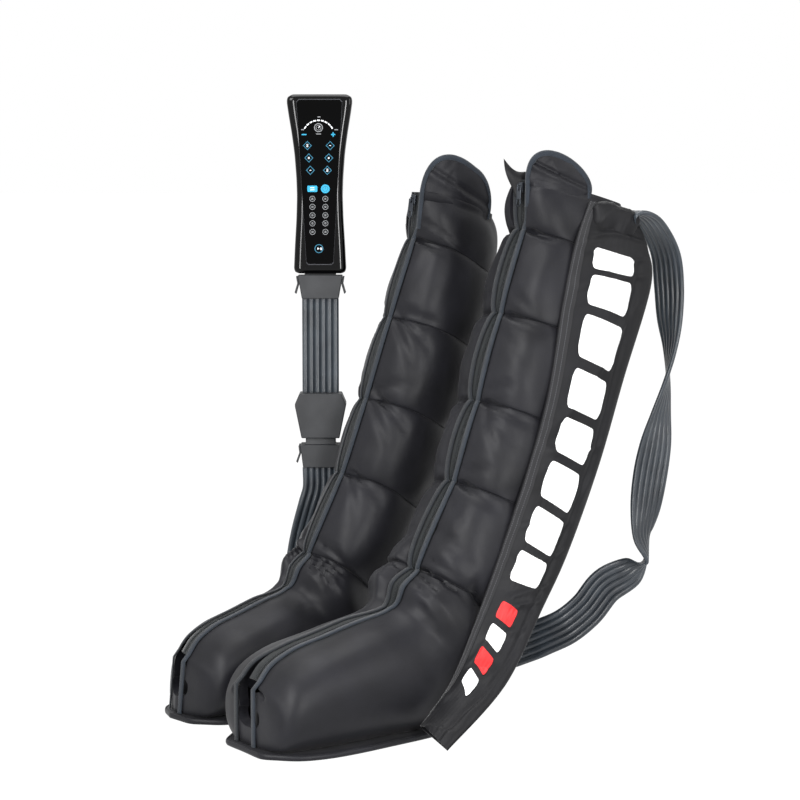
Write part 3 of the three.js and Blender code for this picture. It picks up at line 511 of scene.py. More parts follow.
def sweep(points, sides, outs, profile):
    """Rings of a profile of side and outward offsets along points. It may change on the way."""
    profile = np.asarray(profile, float)
    if profile.ndim == 2:
        profile = profile[None]
    return points[:, None] + profile[..., :1] * sides[:, None] + profile[..., 1:] * outs[:, None]


def stacked(*parts):
    """Parts of vectors, as arrays that fit together, made into one array of vectors."""
    return np.stack(np.broadcast_arrays(*parts), axis=-1)


def unit(vectors):
    return vectors / np.linalg.norm(vectors, axis=-1, keepdims=True)


def along_of(points):
    """Direction of a line of points at each of them."""
    return unit(np.gradient(points, axis=0))


def smooth(table, s):
    """A smooth value through a table's rows at fractional places."""
    s = np.asarray(s, float)
    last = len(table) - 1
    i = np.minimum(s.astype(int), last - 1)
    t = (s - i)[..., None]
    p, q, r, w = (table[np.clip(i + k, 0, last)] for k in (-1, 0, 1, 2))
    return q + 0.5 * t * (r - p + t * (2 * p - 5 * q + 4 * r - w + t * (3 * (q - r) + w - p)))


def between(table, s):
    """A value read straight between a table's rows."""
    s = np.asarray(s, float)
    i = np.minimum(s.astype(int), len(table) - 2)
    t = (s - i)[..., None]
    return table[i] * (1 - t) + table[i + 1] * t


def smoothstep(value, low, high):
    t = np.clip((np.asarray(value, float) - low) / (high - low), 0, 1)
    return t * t * (3 - 2 * t)


def raw_noise(points, scale, shift):
    flat = np.asarray(points, float).reshape(-1, 3) * scale + shift
    return np.array([noise.noise(Vector(p)) for p in flat]).reshape(np.shape(points)[:-1])


def ridges(points, scale, seed, power):
    """Sharp-crested noise from 0 to 1 at an array of points."""
    return (1 - np.minimum(1, np.abs(raw_noise(points, scale, seed * 17.3)) * 2.4)) ** power


def soft_noise(points, scale, seed):
    """Soft noise from about -1 to 1 at an array of points."""
    return raw_noise(points, scale, seed * 31.7) * 1.6


# Stage, camera and light

scene = bpy.context.scene
scene.view_settings.view_transform = "Standard"

camera = linked("camera", bpy.data.cameras.new("camera"))
camera.location = (-1.7267, -2.5552, 0.760)
camera.rotation_euler = (math.radians(84), 0, math.radians(-34))
camera.data.lens = 100
camera.data.sensor_width = 36
scene.camera = camera


def lamp(name, place, aim, size, power):
    made = linked(name, bpy.data.lights.new(name, "AREA"))
    made.data.shape = "RECTANGLE"
    made.data.size, made.data.size_y = size
    made.data.energy = power
    made.location = place
    made.rotation_euler = (Vector(aim) - Vector(place)).to_track_quat("-Z", "Y").to_euler()


lamp("key", (-2.6, -0.6, 2.1), (0, 0, 0.4), (1.2, 1.6), 72)
lamp("side", (1.3, -2.6, 1.5), (0.05, 0, 0.4), (0.9, 1.8), 30)
lamp("top", (0.2, 0.3, 2.9), (0, 0, 0.3), (1.8, 1.8), 48)
lamp("right_strip", (-0.38, -1.327, 0.56), (0.007, 0.225, 0.7), (0.1, 1.0), 13)
lamp("left_strip", (-1.287, -0.715, 0.56), (0.007, 0.225, 0.7), (0.1, 1.0), 9)

world = bpy.data.worlds.new("studio")
world.use_nodes = True
scene.world = world
sky = Nodes(world.node_tree)
dim = sky.tree.nodes["Background"]
dim.inputs["Color"].default_value = (0.9, 0.93, 1, 1)
dim.inputs["Strength"].default_value = 0.14
white = sky.node("Background", Color=(1, 1, 1, 1), Strength=1)
sky.blend(sky.seen(), dim.outputs[0], white.outputs[0], "World Output")

FLOOR_RADIUS = 60
FLOOR_SIDES = 96
FLOOR_HEIGHT = -0.0005
floor_mesh = bpy.data.meshes.new("floor")
floor_mesh.from_pydata(
    [
        (FLOOR_RADIUS * math.cos(a), FLOOR_RADIUS * math.sin(a), FLOOR_HEIGHT)
        for a in np.linspace(0, 2 * math.pi, FLOOR_SIDES, endpoint=False)
    ],
    [], [tuple(range(FLOOR_SIDES))],
)
floor = linked("floor", floor_mesh)
ground = Finish("floor", 0.9)
ground.shader.inputs["Base Color"].default_value = (0.8, 0.8, 0.8, 1)
glow = ground.node("Emission", Strength=1.08)
glow_share = ground.math("MULTIPLY", ground.seen(), 0.94)
ground.blend(glow_share, ground.shader.outputs[0], glow.outputs[0], "Material Output")
floor_mesh.materials.append(ground.material)

# Places: a boot's own frame, the upright controller's frame, and the part's frame


def turned(points, angle):
    c, s = math.cos(angle), math.sin(angle)
    return points @ np.array([[c, s, 0], [-s, c, 0], [0, 0, 1]])


def settle(points, boot):
    """Moves points of a boot's plain form to how that boot stands, in the part's frame."""
    points = np.array(points, float)
    x, y, z = points[..., 0], points[..., 1], points[..., 2]
    above = np.maximum(0, z - SOLE_THICKNESS - GAP)
    inner = np.maximum(0, y)
    across = y + (boot["full"] - 1) * inner
    stood = np.stack([
        x * boot["long"] + boot["back"] * inner * boot["full"],
        across + boot["lean"] * above,
        z - above + above * boot["tall"],
    ], axis=-1)
    return turned(stood, math.radians(boot["turn"])) + boot["place"] - SET_MIDDLE


def tower(points):
    """From the upright controller's frame, x across and -y to the front, to the part's frame."""
    return turned(np.asarray(points, float), TOWER_TURN) + [*TOWER_PLACE, 0] - SET_MIDDLE


# Cords: two free ribbons of six air tubes


def sleeve_place(boot, share):
    """Both long edges of the sleeve at a share of its length."""
    s = np.asarray(share, float) * (len(SLEEVE_HEM) - 1)
    edges = []
    for table in (SLEEVE_HEM, SLEEVE_EDGE):
        points = smooth(table, s)
        y = points[..., 1]
        y = np.where(y < SLEEVE_REST, SLEEVE_REST + (y - SLEEVE_REST) * boot["splay"], y)
        points[..., 1] = -boot["sleeve"] * y
        edges.append(points)
    return edges


def sleeve_frames(boot, steps):
    hem, edge = sleeve_place(boot, np.linspace(0, 1, steps + 1))
    total = hem + edge
    rows = np.arange(steps + 1)
    along = total[np.minimum(rows + 1, steps)] - total[np.maximum(rows - 1, 0)]
    out = unit(np.cross(along, edge - hem))
    out[out[:, 1] * boot["sleeve"] < 0] *= -1
    return hem, edge, out


def tubes_line(boot, steps):
    hem, edge, out = sleeve_frames(boot, steps)
    return (hem + edge) / 2 + out * TUBES_LIFT, unit(edge - hem), out


def ribbon_profile():
    """Six tubes side by side, joined by thin webs."""
    half = TUBE_THICKNESS / 2
    bulge = TUBE_PITCH / 2 * 1.02
    top = []
    for tube in range(6):
        for j in range(6):
            u = (j / 6 - 0.5) * TUBE_PITCH if tube or j else -TUBE_PITCH / 2
            x = (tube - 2.5) * TUBE_PITCH + u
            top.append((x, half * math.sqrt(max(0.04, 1 - (u / bulge) ** 2))))
    top.append((3 * TUBE_PITCH, half * math.sqrt(1 - (TUBE_PITCH / 2 / bulge) ** 2)))
    return [*top, *[(x, -z) for x, z in reversed(top)]]


def spline(points, count):
    """Points at even shares of a centripetal spline through a route."""
    last = len(points) - 1
    found = []
    for t in np.linspace(0, 1, count):
        i = min(int(t * last), last - 1)
        w = t * last - i
        p1, p2 = points[i], points[i + 1]
        p0 = points[i - 1] if i else 2 * p1 - p2
        p3 = points[i + 2] if i + 2 <= last else 2 * p2 - p1
        d0, d1, d2 = (math.sqrt(np.linalg.norm(b - a)) for a, b in ((p0, p1), (p1, p2), (p2, p3)))
        t1 = ((p1 - p0) / d0 - (p2 - p0) / (d0 + d1) + (p2 - p1) / d1) * d1
        t2 = ((p2 - p1) / d1 - (p3 - p1) / (d1 + d2) + (p3 - p2) / d2) * d1
        found.append(p1 + w * (t1 + w * (-3 * p1 + 3 * p2 - 2 * t1 - t2 + w * (2 * p1 - 2 * p2 + t1 + t2))))
    return np.array(found)


def free_ribbon(boot, plug_y):
    """Six tubes from the sleeve's top, along their route, to their plug."""
    name = boot["side"]
    route = np.array(RIBBON_ROUTES[name], float)
    points = list(route[:, :3] - SET_MIDDLE)
    sides = list(route[:, 3:])
    middle, across, _ = tubes_line(boot, SLEEVE_STEPS)
    top, below, edge = settle([middle[0], middle[1], middle[0] + across[0] * 10], boot)
    up = unit(top - below)
    side = unit(edge - top)
    up = unit(up - side * up.dot(side))
    points = [top - up * 14, top + up * 4 + (points[1] - top) * 0.28, *points[1:]]
    sides = [side, unit(side + unit(sides[1])), *sides[1:]]
    plug = tower([0, plug_y, TOWER_BASE - GAP])
    points += [plug - [0, 0, RIBBON_DROP], plug]
    sides += [sides[-1], sides[-1]]
    line = spline(np.array(points), RIBBON_POINTS)
    tangents = along_of(line)
    tangents[-1] = (0, 0, 1)
    widths = smooth(np.array(sides, float), np.linspace(0, len(points) - 1, RIBBON_POINTS))
    widths = unit(widths - tangents * (widths * tangents).sum(axis=1, keepdims=True))
    rings = sweep(line, widths, np.cross(tangents, widths), ribbon_profile())
    made = loft(name + "_leg_ribbon_tubes", rings, "hose", "boots", 60, name + "_leg_ribbon")
    hood(boot, top, side, up)


def hood(boot, top, side, up):
    """Cloth gathered over the top of a sleeve, where its ribbon leaves."""
    out = unit(np.cross(up, side))
    out = out * np.sign(out[1] * boot["sleeve"])
    half = HOOD_HALF_WIDTH
    u = np.cos(np.linspace(np.pi, 0, 34))[:, None]
    a = np.linspace(0, 2 * np.pi, 41)[None, :-1]
    size = np.maximum(0.02, 1 - np.abs(u) ** 3) ** 0.5
    lumps = stacked(u * half, 14 * np.cos(a), 14 * np.sin(a))
    folds = ridges(lumps * [1, 0.35, 1], 0.05, 6, 4) - 0.3
    size = size * (1 + 0.08 * soft_noise(lumps, 0.07, 5) + 0.18 * folds)
    sunk = 16 * np.maximum(0, -np.sin(a)) ** 2
    high = np.sin(a) * np.where(np.sin(a) > 0, 13, 44)
    off = 7 - sunk + size * (12 + 4 * np.sin(a)) * np.cos(a)
    rings = top + out * off[..., None] + side * (u * half - 1)[..., None] + up * (size * high - 1)[..., None]
    loft(boot["side"] + "_sleeve_hood", rings, "sleeve", "boots", 80)


free_ribbon(BOOTS["left"], LEG_PLUG_OUT)
free_ribbon(BOOTS["right"], -LEG_PLUG_OUT)

# Boot cells: cloth over air cells, from a grid of rows down the leg and columns round it


def signed_power(value):
    return np.sign(value) * np.abs(value) ** SECTION_POWER


def boot_point(leg, s, angle, out):
    """A point of the plain boot: s runs down the seams, angle runs round from the zipper."""
    s, angle, out = np.broadcast_arrays(np.asarray(s, float), angle, out)
    row = smooth(LEG if leg else FOOT, s)
    if leg:
        row[s < 1, :4] = between(LEG, s)[s < 1, :4]
    front = np.stack([row[..., 0], 0 * s, row[..., 1]], axis=-1)
    back = np.stack([row[..., 2], 0 * s, row[..., 3]], axis=-1)
    ahead = (front - back) / 2
    depth = np.linalg.norm(ahead, axis=-1)
    c, d = signed_power(np.cos(angle)), signed_power(np.sin(angle))
    point = (front + back) / 2 + ahead * (c * (depth + out) / depth)[..., None]
    point[..., 1] = -d * (row[..., 4] + out)
    point[..., 2] = np.maximum(point[..., 2], SOLE_THICKNESS + GAP)
    return point


def swell(t):
    return np.sqrt(np.maximum(0, np.sin(np.pi * np.asarray(t, float))))


def zip_half(leg, s):
    """Half the distance between the bound edges."""
    s = np.asarray(s, float)
    spread = ZIP_HALF_OPEN - ZIP_HALF_PINCHED
    if leg:
        first = ZIP_HALF_OPEN - spread * np.clip(4 * (s - 1) + 1, 0, 1)
        return np.where(s < 1, first, ZIP_HALF_PINCHED + spread * swell(s % 1))
    return ZIP_HALF_PINCHED + spread * np.where(s < 2, swell(s / 2), np.clip(s - 2, 0, 1))


def start_angle(leg, s, out):
    """Angle from the zipper at which the cloth starts."""
    half = zip_half(leg, s) + BINDING_WIDTH / 2 + 3 * GAP
    width = smooth(LEG if leg else FOOT, s)[..., 4]
    return np.arcsin(np.minimum(0.9, half / (width + out)) ** 1.25)


def outwards(leg, s):
    if leg:
        return CELL_SWELL * swell(s % 1)
    return np.maximum(0, smooth(FOOT, s)[..., 5])


def wall_of(leg, s):
    if leg:
        return SEAM_WALL + (CELL_WALL - SEAM_WALL) * swell(s % 1)
    toe = np.clip(s - TOE_STATION, 0, 1)
    upper = SEAM_WALL + (CELL_WALL - SEAM_WALL) * np.clip(s, 0, 1)
    return np.where(s > TOE_STATION, CELL_WALL + (2 - CELL_WALL) * toe, upper)


def ring(leg, s, inner=False):
    """Points of rows s of a boot, each all the way round from one side of the zipper to the other."""
    s = np.asarray(s, float)[:, None]
    share = np.linspace(0, 1, COLUMNS + 1)[None, :]
    near = np.minimum(share, 1 - share)
    out = -wall_of(leg, s) + 0 * share if inner else outwards(leg, s) * np.minimum(1, ZIP_SWELL + 3 * near)
    if leg and not inner:
        shallow = smoothstep(near, 0.05, 0.2) * smoothstep(s, 0.3, 1) * smoothstep(5 - s, 0, 0.9)
        out = out + SEAM_FADE * shallow * (CELL_SWELL - outwards(leg, s))
        top = TOP_SWELL * smoothstep(0.37 - share, 0, 0.07) * smoothstep(0.4 - s, 0, 0.4)
        out = np.maximum(out, top)
    if not inner:
        ankle = smoothstep(s, 4.5, 5) if leg else 1 - smoothstep(s, 1.3, 3)
        out = out + INNER_SWELL * ankle * smoothstep(share, 0.7, 0.86) * smoothstep(1 - share, 0, 0.025)
    start = start_angle(leg, s, out)
    wide = 0 if leg else TOE_SPREAD_ANGLE * smoothstep(s, 5, TOE_STATION)
    points = boot_point(leg, s, start + (2 * np.pi - 2 * start - wide) * share, out)
    if inner and not leg:
        points[..., 0] += TOE_WALL * smoothstep(s, TOE_STATION - 2, TOE_STATION)
    return points


def rows_of(cell):
    """Seam shares of a cell's rows, closer together next to its seams."""
    if cell < LEG_CELLS:
        return cell + (1 - np.cos(np.linspace(0, np.pi, ROWS + 1))) / 2
    t = np.linspace(0, 1, FOOT_ROWS + 1)
    return FOOT_END * (t - 0.35 * t * (1 - t) * (1 - 2 * t))


def leg_rows():
    return np.concatenate([rows_of(cell)[:-1] for cell in range(LEG_CELLS)])


# Creases pressed into the cloth before it settles: where each starts and ends, as seams down the boot
# and share round it, with its depth and half width in mm
CREASES = {
    "left": [
        [1.0, 0.01, 1.08, 0.13, 5, 6], [1.75, 0.01, 1.95, 0.12, 4, 6], [2.0, 0.01, 2.12, 0.17, 5, 7],
        [2.2, 0.01, 2.5, 0.14, 3, 7], [3.0, 0.01, 3.14, 0.2, 6, 7], [3.1, 0.02, 3.42, 0.16, 5, 6],
        [3.2, 0.03, 3.62, 0.12, 4, 6], [2.86, 0.01, 2.72, 0.12, 4, 6], [4.0, 0.01, 4.16, 0.19, 6, 7],
        [3.85, 0.01, 3.75, 0.12, 4, 6], [4.2, 0.01, 4.5, 0.13, 4, 6], [4.5, 0.01, 4.75, 0.2, 6, 8],
        [5.0, 0.01, 5.3, 0.2, 8, 8], [5.3, 0.01, 5.8, 0.16, 6, 8], [4.82, 0.02, 4.9, 0.16, 4, 6],
        [5.7, 0.01, 6.3, 0.16, 4, 8], [4.85, 0.2, 5.5, 0.3, 7, 10], [6.4, 0.05, 6.9, 0.18, 3, 8],
        [12.9, 0.0, 13.2, 0.08, 7, 16],
    ],
    "right": [
        [0.6, 0.01, 1.0, 0.24, 3, 5], [1.0, 0.01, 1.12, 0.14, 5, 7], [1.95, 0.01, 2.3, 0.17, 7, 7],
        [2.05, 0.01, 2.62, 0.14, 6, 7], [1.9, 0.01, 1.95, 0.2, 6, 7], [2.9, 0.01, 3.3, 0.17, 7, 8],
        [3.05, 0.01, 3.6, 0.13, 5, 7], [2.85, 0.01, 2.7, 0.16, 5, 7], [3.95, 0.01, 4.2, 0.18, 6, 7],
        [4.0, 0.01, 4.5, 0.12, 5, 6], [4.8, 0.01, 5.0, 0.2, 7, 8], [5.1, 0.01, 5.4, 0.18, 8, 7],
        [5.3, 0.01, 5.75, 0.17, 8, 7], [5.5, 0.01, 6.1, 0.15, 7, 7], [5.75, 0.01, 6.5, 0.14, 5, 7],
        [6.6, 0.03, 7.4, 0.12, 2, 7], [6.9, 0.03, 7.6, 0.14, 2, 6],
    ],
}


def creased(boot):
    """The cloth of all six cells as one grid of rows and columns, settled: creased, and plain."""
    legs, feet = leg_rows(), rows_of(LEG_CELLS)
    grid = np.concatenate([ring(True, legs), ring(False, feet)])
    down = np.concatenate([legs, LEG_CELLS + feet])[:, None]
    share = np.linspace(0, 1, COLUMNS + 1)[None, :]
    dent = 0 * down * share
    marks = CREASES[boot["side"]]
    mirrored = [[a, 1 - b, c, 1 - d, deep * 0.8, wide] for a, b, c, d, deep, wide in marks]
    for a, b, c, d, deep, wide in [*marks, *mirrored]:
        run = np.array([(c - a) * SEAM_STEP, (d - b) * BOOT_ROUND])
        there = stacked((down - a) * SEAM_STEP, (share - b) * BOOT_ROUND)
        t = np.clip(there @ run / run.dot(run), 0, 1)
        away = np.linalg.norm(there - t[..., None] * run, axis=-1) / wide
        fade = np.minimum(1, 6 * t + 0.5) * (1 - t) ** 0.6
        sharp = 1.55 * np.exp(-((away / 0.85) ** 2)) - 0.5 * np.exp(-((away / 2) ** 2))
        dent = np.maximum(dent, 0) + fade * deep * sharp
    normal = unit(np.cross(np.gradient(grid, axis=0), np.gradient(grid, axis=1)))
    centre = grid.mean(axis=1, keepdims=True)
    normal *= np.sign((normal * (grid - centre)).sum(axis=-1, keepdims=True))
    return settle(grid - normal * dent[..., None], boot), settle(grid, boot)


def held(grid):
    """How firmly each point of the cloth is sewn down, from 0 to 1: most at the zipper, top and sole."""
    rows, columns = grid.shape[:2]
    firm = np.zeros((rows, columns))
    share = np.linspace(0, 1, columns)
    near = np.minimum(share, 1 - share)
    for seam in range(1, LEG_CELLS + 1):
        firm[seam * ROWS] = 0.25 + 0.7 * (near < 0.1)
    foot = firm[LEG_ROWS + 1:]
    foot[:] = np.maximum(foot, np.linspace(0.5, 0.85, len(foot))[:, None].round(2))
    firm[grid[..., 2] < SOLE_THICKNESS + 3] = 1
    firm[:2] = firm[-2:] = 1
    firm[:, 0] = firm[:, -1] = 1
    firm[:, 1] = firm[:, -2] = 0.6
    return firm


def grid_faces(rows, wide, first=0):
    """Faces between the points of a grid that is kept row by row."""
    return [
        (a, a + 1, a + 1 + wide, a + wide)
        for i in range(rows - 1) for a in range(first + i * wide, first + (i + 1) * wide - 1)
    ]


def crumpled(boot):
    """The cloth after air has filled it: slightly larger than its frame, so it wrinkles at what holds it."""
    start, plain = creased(boot)
    chance = np.random.default_rng(CLOTH_SEEDS[boot["side"]])
    firm = held(plain)
    loose = start + chance.normal(0, 0.35, start.shape) * (1 - firm)[..., None]
    mesh = bpy.data.meshes.new("cloth_trial")
    mesh.from_pydata((loose.reshape(-1, 3) / 1000).tolist(), [], grid_faces(*start.shape[:2]))
    trial = linked("cloth_trial", mesh)
    with edited(mesh) as bm:
        bmesh.ops.recalc_face_normals(bm, faces=bm.faces)
        middle = sum((v.co for v in bm.verts), Vector()) / len(bm.verts)
        facing = sum(f.normal.dot(f.calc_center_median() - middle) for f in bm.faces)
    group = trial.vertex_groups.new(name="sewn")
    for weight in np.unique(firm):
        if weight:
            group.add(np.flatnonzero(firm.ravel() == weight).tolist(), float(weight), "REPLACE")
    cloth = trial.modifiers.new("cloth", "CLOTH")
    for key, value in CLOTH_SETTINGS.items():
        setattr(cloth.settings, key, value)
    cloth.settings.vertex_group_mass = "sewn"
    cloth.settings.use_pressure = True
    cloth.settings.uniform_pressure_force = CLOTH_PRESSURE if facing > 0 else -CLOTH_PRESSURE
    cloth.settings.effector_weights.gravity = 0
    cloth.collision_settings.use_collision = False
    cloth.collision_settings.use_self_collision = False
    cloth.point_cache.frame_end = CLOTH_FRAMES
    for frame_number in range(1, CLOTH_FRAMES + 1):
        scene.frame_set(frame_number)
    shaped = trial.evaluated_get(bpy.context.evaluated_depsgraph_get()).data
    found = np.empty(start.size)
    shaped.vertices.foreach_get("co", found)
    scene.frame_set(1)
    bpy.data.objects.remove(trial)
    shift = found.reshape(start.shape) * 1000 - start
    for _ in range(CLOTH_SMOOTHING):
        shift[1:-1] = (shift[:-2] + 2 * shift[1:-1] + shift[2:]) / 4
        shift[:, 1:-1] = (shift[:, :-2] + 2 * shift[:, 1:-1] + shift[:, 2:]) / 4
    moved = start - plain + CLOTH_SHARE * shift
    far = np.linalg.norm(moved, axis=-1, keepdims=True)
    return plain + moved * np.minimum(1, CLOTH_REACH / np.maximum(far, 1e-6))


def cell_piece(boot, cell, cloth):
    """One padded cell: its cloth, its lining and the walls between them."""
    leg = cell < LEG_CELLS
    name = f"{boot['side']}_{CELL_NAMES[cell]}"
    rows = np.linspace(cell, cell + 1, 7) if leg else np.linspace(0, FOOT_END, 19)
    lining = settle(ring(leg, rows, inner=True), boot)
    wide = COLUMNS + 1
    top, low = len(cloth), len(lining)
    base = top * wide
    points = np.concatenate([cloth.reshape(-1, 3), lining.reshape(-1, 3)])
    faces = grid_faces(top, wide) + grid_faces(low, wide, base)
    for j in range(COLUMNS):
        faces.append((j, j + 1, base + j + 1, base + j))
        a, b = (top - 1) * wide + j, base + (low - 1) * wide + j
        faces.append((a, a + 1, b + 1, b))
    for j in (0, COLUMNS):
        outer, inner = range(j, base, wide), range(base + j, base + low * wide, wide)
        faces.append([*outer, *reversed(inner)])
    made = piece(name + "_padding", points, faces, "cloth", "boots", 55)
    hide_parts(name)


for boot in BOOTS.values():
    skin = crumpled(boot)
    for cell in range(LEG_CELLS):
        cell_piece(boot, cell, skin[cell * ROWS:(cell + 1) * ROWS + 1])
    cell_piece(boot, LEG_CELLS, skin[LEG_ROWS:])

# Zipper: two bound edges, the tape with its coil, the slider and its pull


def zip_path():
    """Points down the zipper, the direction out of the boot, and half the distance of the bound edges."""
    points, halves = [], []
    for leg, s in ((True, leg_rows()), (False, np.linspace(0, TOE_STATION, ZIP_FOOT_POINTS))):
        out = ZIP_SWELL * (np.where(s < 1, 0, outwards(True, s)) if leg else outwards(False, s))
        points.append(boot_point(leg, s, 0, out))
        halves.append(zip_half(leg, s))
    points, halves = np.concatenate(points), np.concatenate(halves)
    return points, unit(np.cross([0, 1, 0], along_of(points))), halves


def edge_tape(boot, which, sign, finish, spread):
    """Bound edge beside the zipper, down to the sole, and further aside at the toe."""
    points, outs, halves = zip_path()
    low = SOLE_THICKNESS + GAP
    face = np.array([[TOE_FACE - GAP, 0, z] for z in np.linspace(points[-1][2], low, 10)[1:]])
    points = np.concatenate([points, face])
    outs[-1] = unit(np.array([-0.8, 0, 0.6]))
    outs = np.concatenate([outs, np.tile([-1.0, 0, 0], (len(face), 1))])
    halves = np.concatenate([halves, np.full(len(face), halves[-1])])
    aside = smoothstep(np.arange(len(points)), len(points) - 38, len(points) - 12)
    points[:, 1] += sign * halves + spread * aside
    rings = sweep(points, np.array([[0, 1.0, 0]]), outs, EDGE_TAPE)
    boot_skin(boot, which + "_edge_tape", rings, finish, 70, which + "_binding")


EDGE_TAPE = [
    (-4, 0.1), (-4.2, 1.3), (-3.9, 2.1), (-3.2, 2.6), (-1.5, 2.8), (0, 2.85), (1.5, 2.8),
    (3.2, 2.6), (3.9, 2.1), (4.2, 1.3), (4, 0.1), (2.4, 0), (0, 0), (-2.4, 0),
]


def zipper(boot):
    edge_tape(boot, "outer", -1, "binding", 0)
    # The inner bound edge takes the darker copy of the tape, which is painted shade
    edge_tape(boot, "inner", 1, "shaded_binding", TOE_SPREAD)
    points, outs, halves = zip_path()
    high = -GAP - 0.9
    low = high - 1.6
    profile = [
        [(-w, low), (0, low), (w, low), (w, high), (3.4, high + 0.15), (2.4, high - 0.3),
         (0, high - 0.3), (-2.4, high - 0.3), (-3.4, high + 0.15), (-w, high)]
        for w in halves + 2.5
    ]
    rings = sweep(points, np.array([[0, 1.0, 0]]), outs, profile)
    boot_skin(boot, "zipper_cloth", rings, "zipper", 70, "zipper_tape")
    run = run_of(points)
    at = np.arange(1.5, run[-1] - 1, TOOTH_PITCH)
    place, out = at_runs(at, run, points), unit(at_runs(at, run, outs))
    along = unit(np.cross(out, [0, 1, 0]))
    teeth, faces = [], []
    for i in range(len(at)):
        shift = 0.5 if i % 2 else -0.5
        base = len(teeth)
        for lift, reach, half in ((-1.35, 2.3, 0.75), (-0.45, 2.1, 0.7), (-0.08, 1.7, 0.4)):
            for u, w in ((-1, -1), (1, -1), (1, 1), (-1, 1)):
                aside = np.array([0, u * reach + shift, 0])
                teeth.append(place[i] + aside + along[i] * w * half + out[i] * lift)
        faces += [[base + k for k in face] for face in loft_faces(3, 4)]
    piece(boot["side"] + "_zipper_coil", settle(np.array(teeth), boot), faces, "coil", "boots", 60)
    for part, width in (("slider", 0.9), ("pull", 0.5)):
        refined(f"{boot['side']}_zipper_{part}", "metal", f"{boot['side']}_{part}", width)


# Toe, sole and the rounded top of the outer side


def toe_fold(boot):
    """Dark pleated cloth that closes the toe from inside."""
    z = np.linspace(22, 73, 16)[:, None]
    y = np.linspace(-34, 34, 41)[None, :]
    depth = TOE_WALL + GAP - 9 * np.exp(-((y / 9) ** 2)) * smoothstep(z, 20, 34) * smoothstep(75 - z, 0, 16)
    pleat = 1.1 * np.sin(y * 0.62 + 0.03 * z) + 0.9 * np.sin(z * 0.24 + y * 0.12)
    face = stacked(depth + 2 + pleat, y, z)
    boot_skin(boot, "toe_fold", sandwich(face, face + [1.2, 0, 0]), "lining", 80, "toe_gusset")


def rounded_outline(outline):
    """A closed outline with even steps and its corners rounded."""
    closed = np.concatenate([outline, outline[:1]])
    run = run_of(closed)
    at = np.arange(SOLE_POINTS) / SOLE_POINTS * run[-1]
    even = at_runs(at, run, closed)
    for _ in range(SOLE_ROUNDING):
        even = (np.roll(even, 1, axis=0) + 2 * even + np.roll(even, -1, axis=0)) / 4
    return even


# Sole from its lower face round its rolled edge to its upper face: how far in, and how high
SOLE_PROFILE = [
    (5, 0), (1.4, 0.3), (0.2, 2), (0, 3.6), (0.4, 5.6),
    (1.7, 7.2), (3.4, 7.2), (4.6, 6.2), (6.5, 6.9), (14, 7.6),
]
SOLE_POINTS = 220
SOLE_ROUNDING = 7
SOLE_MIDDLE = 170


def sole(boot):
    """Padded sole with a rolled, bound edge."""
    t = np.linspace(0, 1, 64)
    half = smooth(SOLE_HALF_WIDTHS[:, None], t * (len(SOLE_HALF_WIDTHS) - 1))[:, 0]
    x = SOLE_ENDS[0] + (SOLE_ENDS[1] - SOLE_ENDS[0]) * t
    ends_in = np.array([0.55, 0.8, 0.93])
    x = np.concatenate([[x[0]] * 3, x, [x[-1]] * 3])
    half = np.concatenate([half[0] * ends_in * 0.9, half, half[-1] * ends_in[::-1] * 0.9])
    outline = rounded_outline(np.concatenate([np.stack([x, -half], -1), np.stack([x, half], -1)[::-1]]))
    inward = unit(np.stack([np.clip(SOLE_MIDDLE - outline[:, 0], -40, 40) * 0.6, -outline[:, 1]], -1))
    rings = []
    for inset, z in SOLE_PROFILE:
        edge = np.column_stack([outline + inward * inset, np.full(len(outline), float(z))])
        if z > 0.5:
            edge[:, 2] = np.clip(z + soft_noise(edge, 0.03, 3) * 0.5, 0, SOLE_THICKNESS)
        rings.append(edge)
    made = boot_skin(boot, "sole_pad", rings, "cloth", 60, "sole_sheet")


def tongue_width(boot):
    """Angles round the boot where its tongue starts and ends."""
    return float(start_angle(True, 0.0, TOP_SWELL)) - 0.05, boot["crown_end"]


def tongue_point(boot, t, across, inside=0.0):
    """A point of the tongue: t up it, across from its front edge (-1) to its back edge (1)."""
    first, last = tongue_width(boot)
    reach = np.sqrt(np.maximum(0, 1 - np.clip(t, 0, 1) ** 2.3))
    angle = first + (last - first) * (0.5 + 0.5 * across * reach + 0.05 * np.clip(t, 0, 1))
    point = boot_point(True, 0 * angle, angle, TOP_SWELL - 0.4 + 0 * angle - inside)
    point[..., 2] += TONGUE_HEIGHT * boot["crown"] * t
    point[..., 1] += 4 * np.clip(t, 0, 1) ** 2
    return point


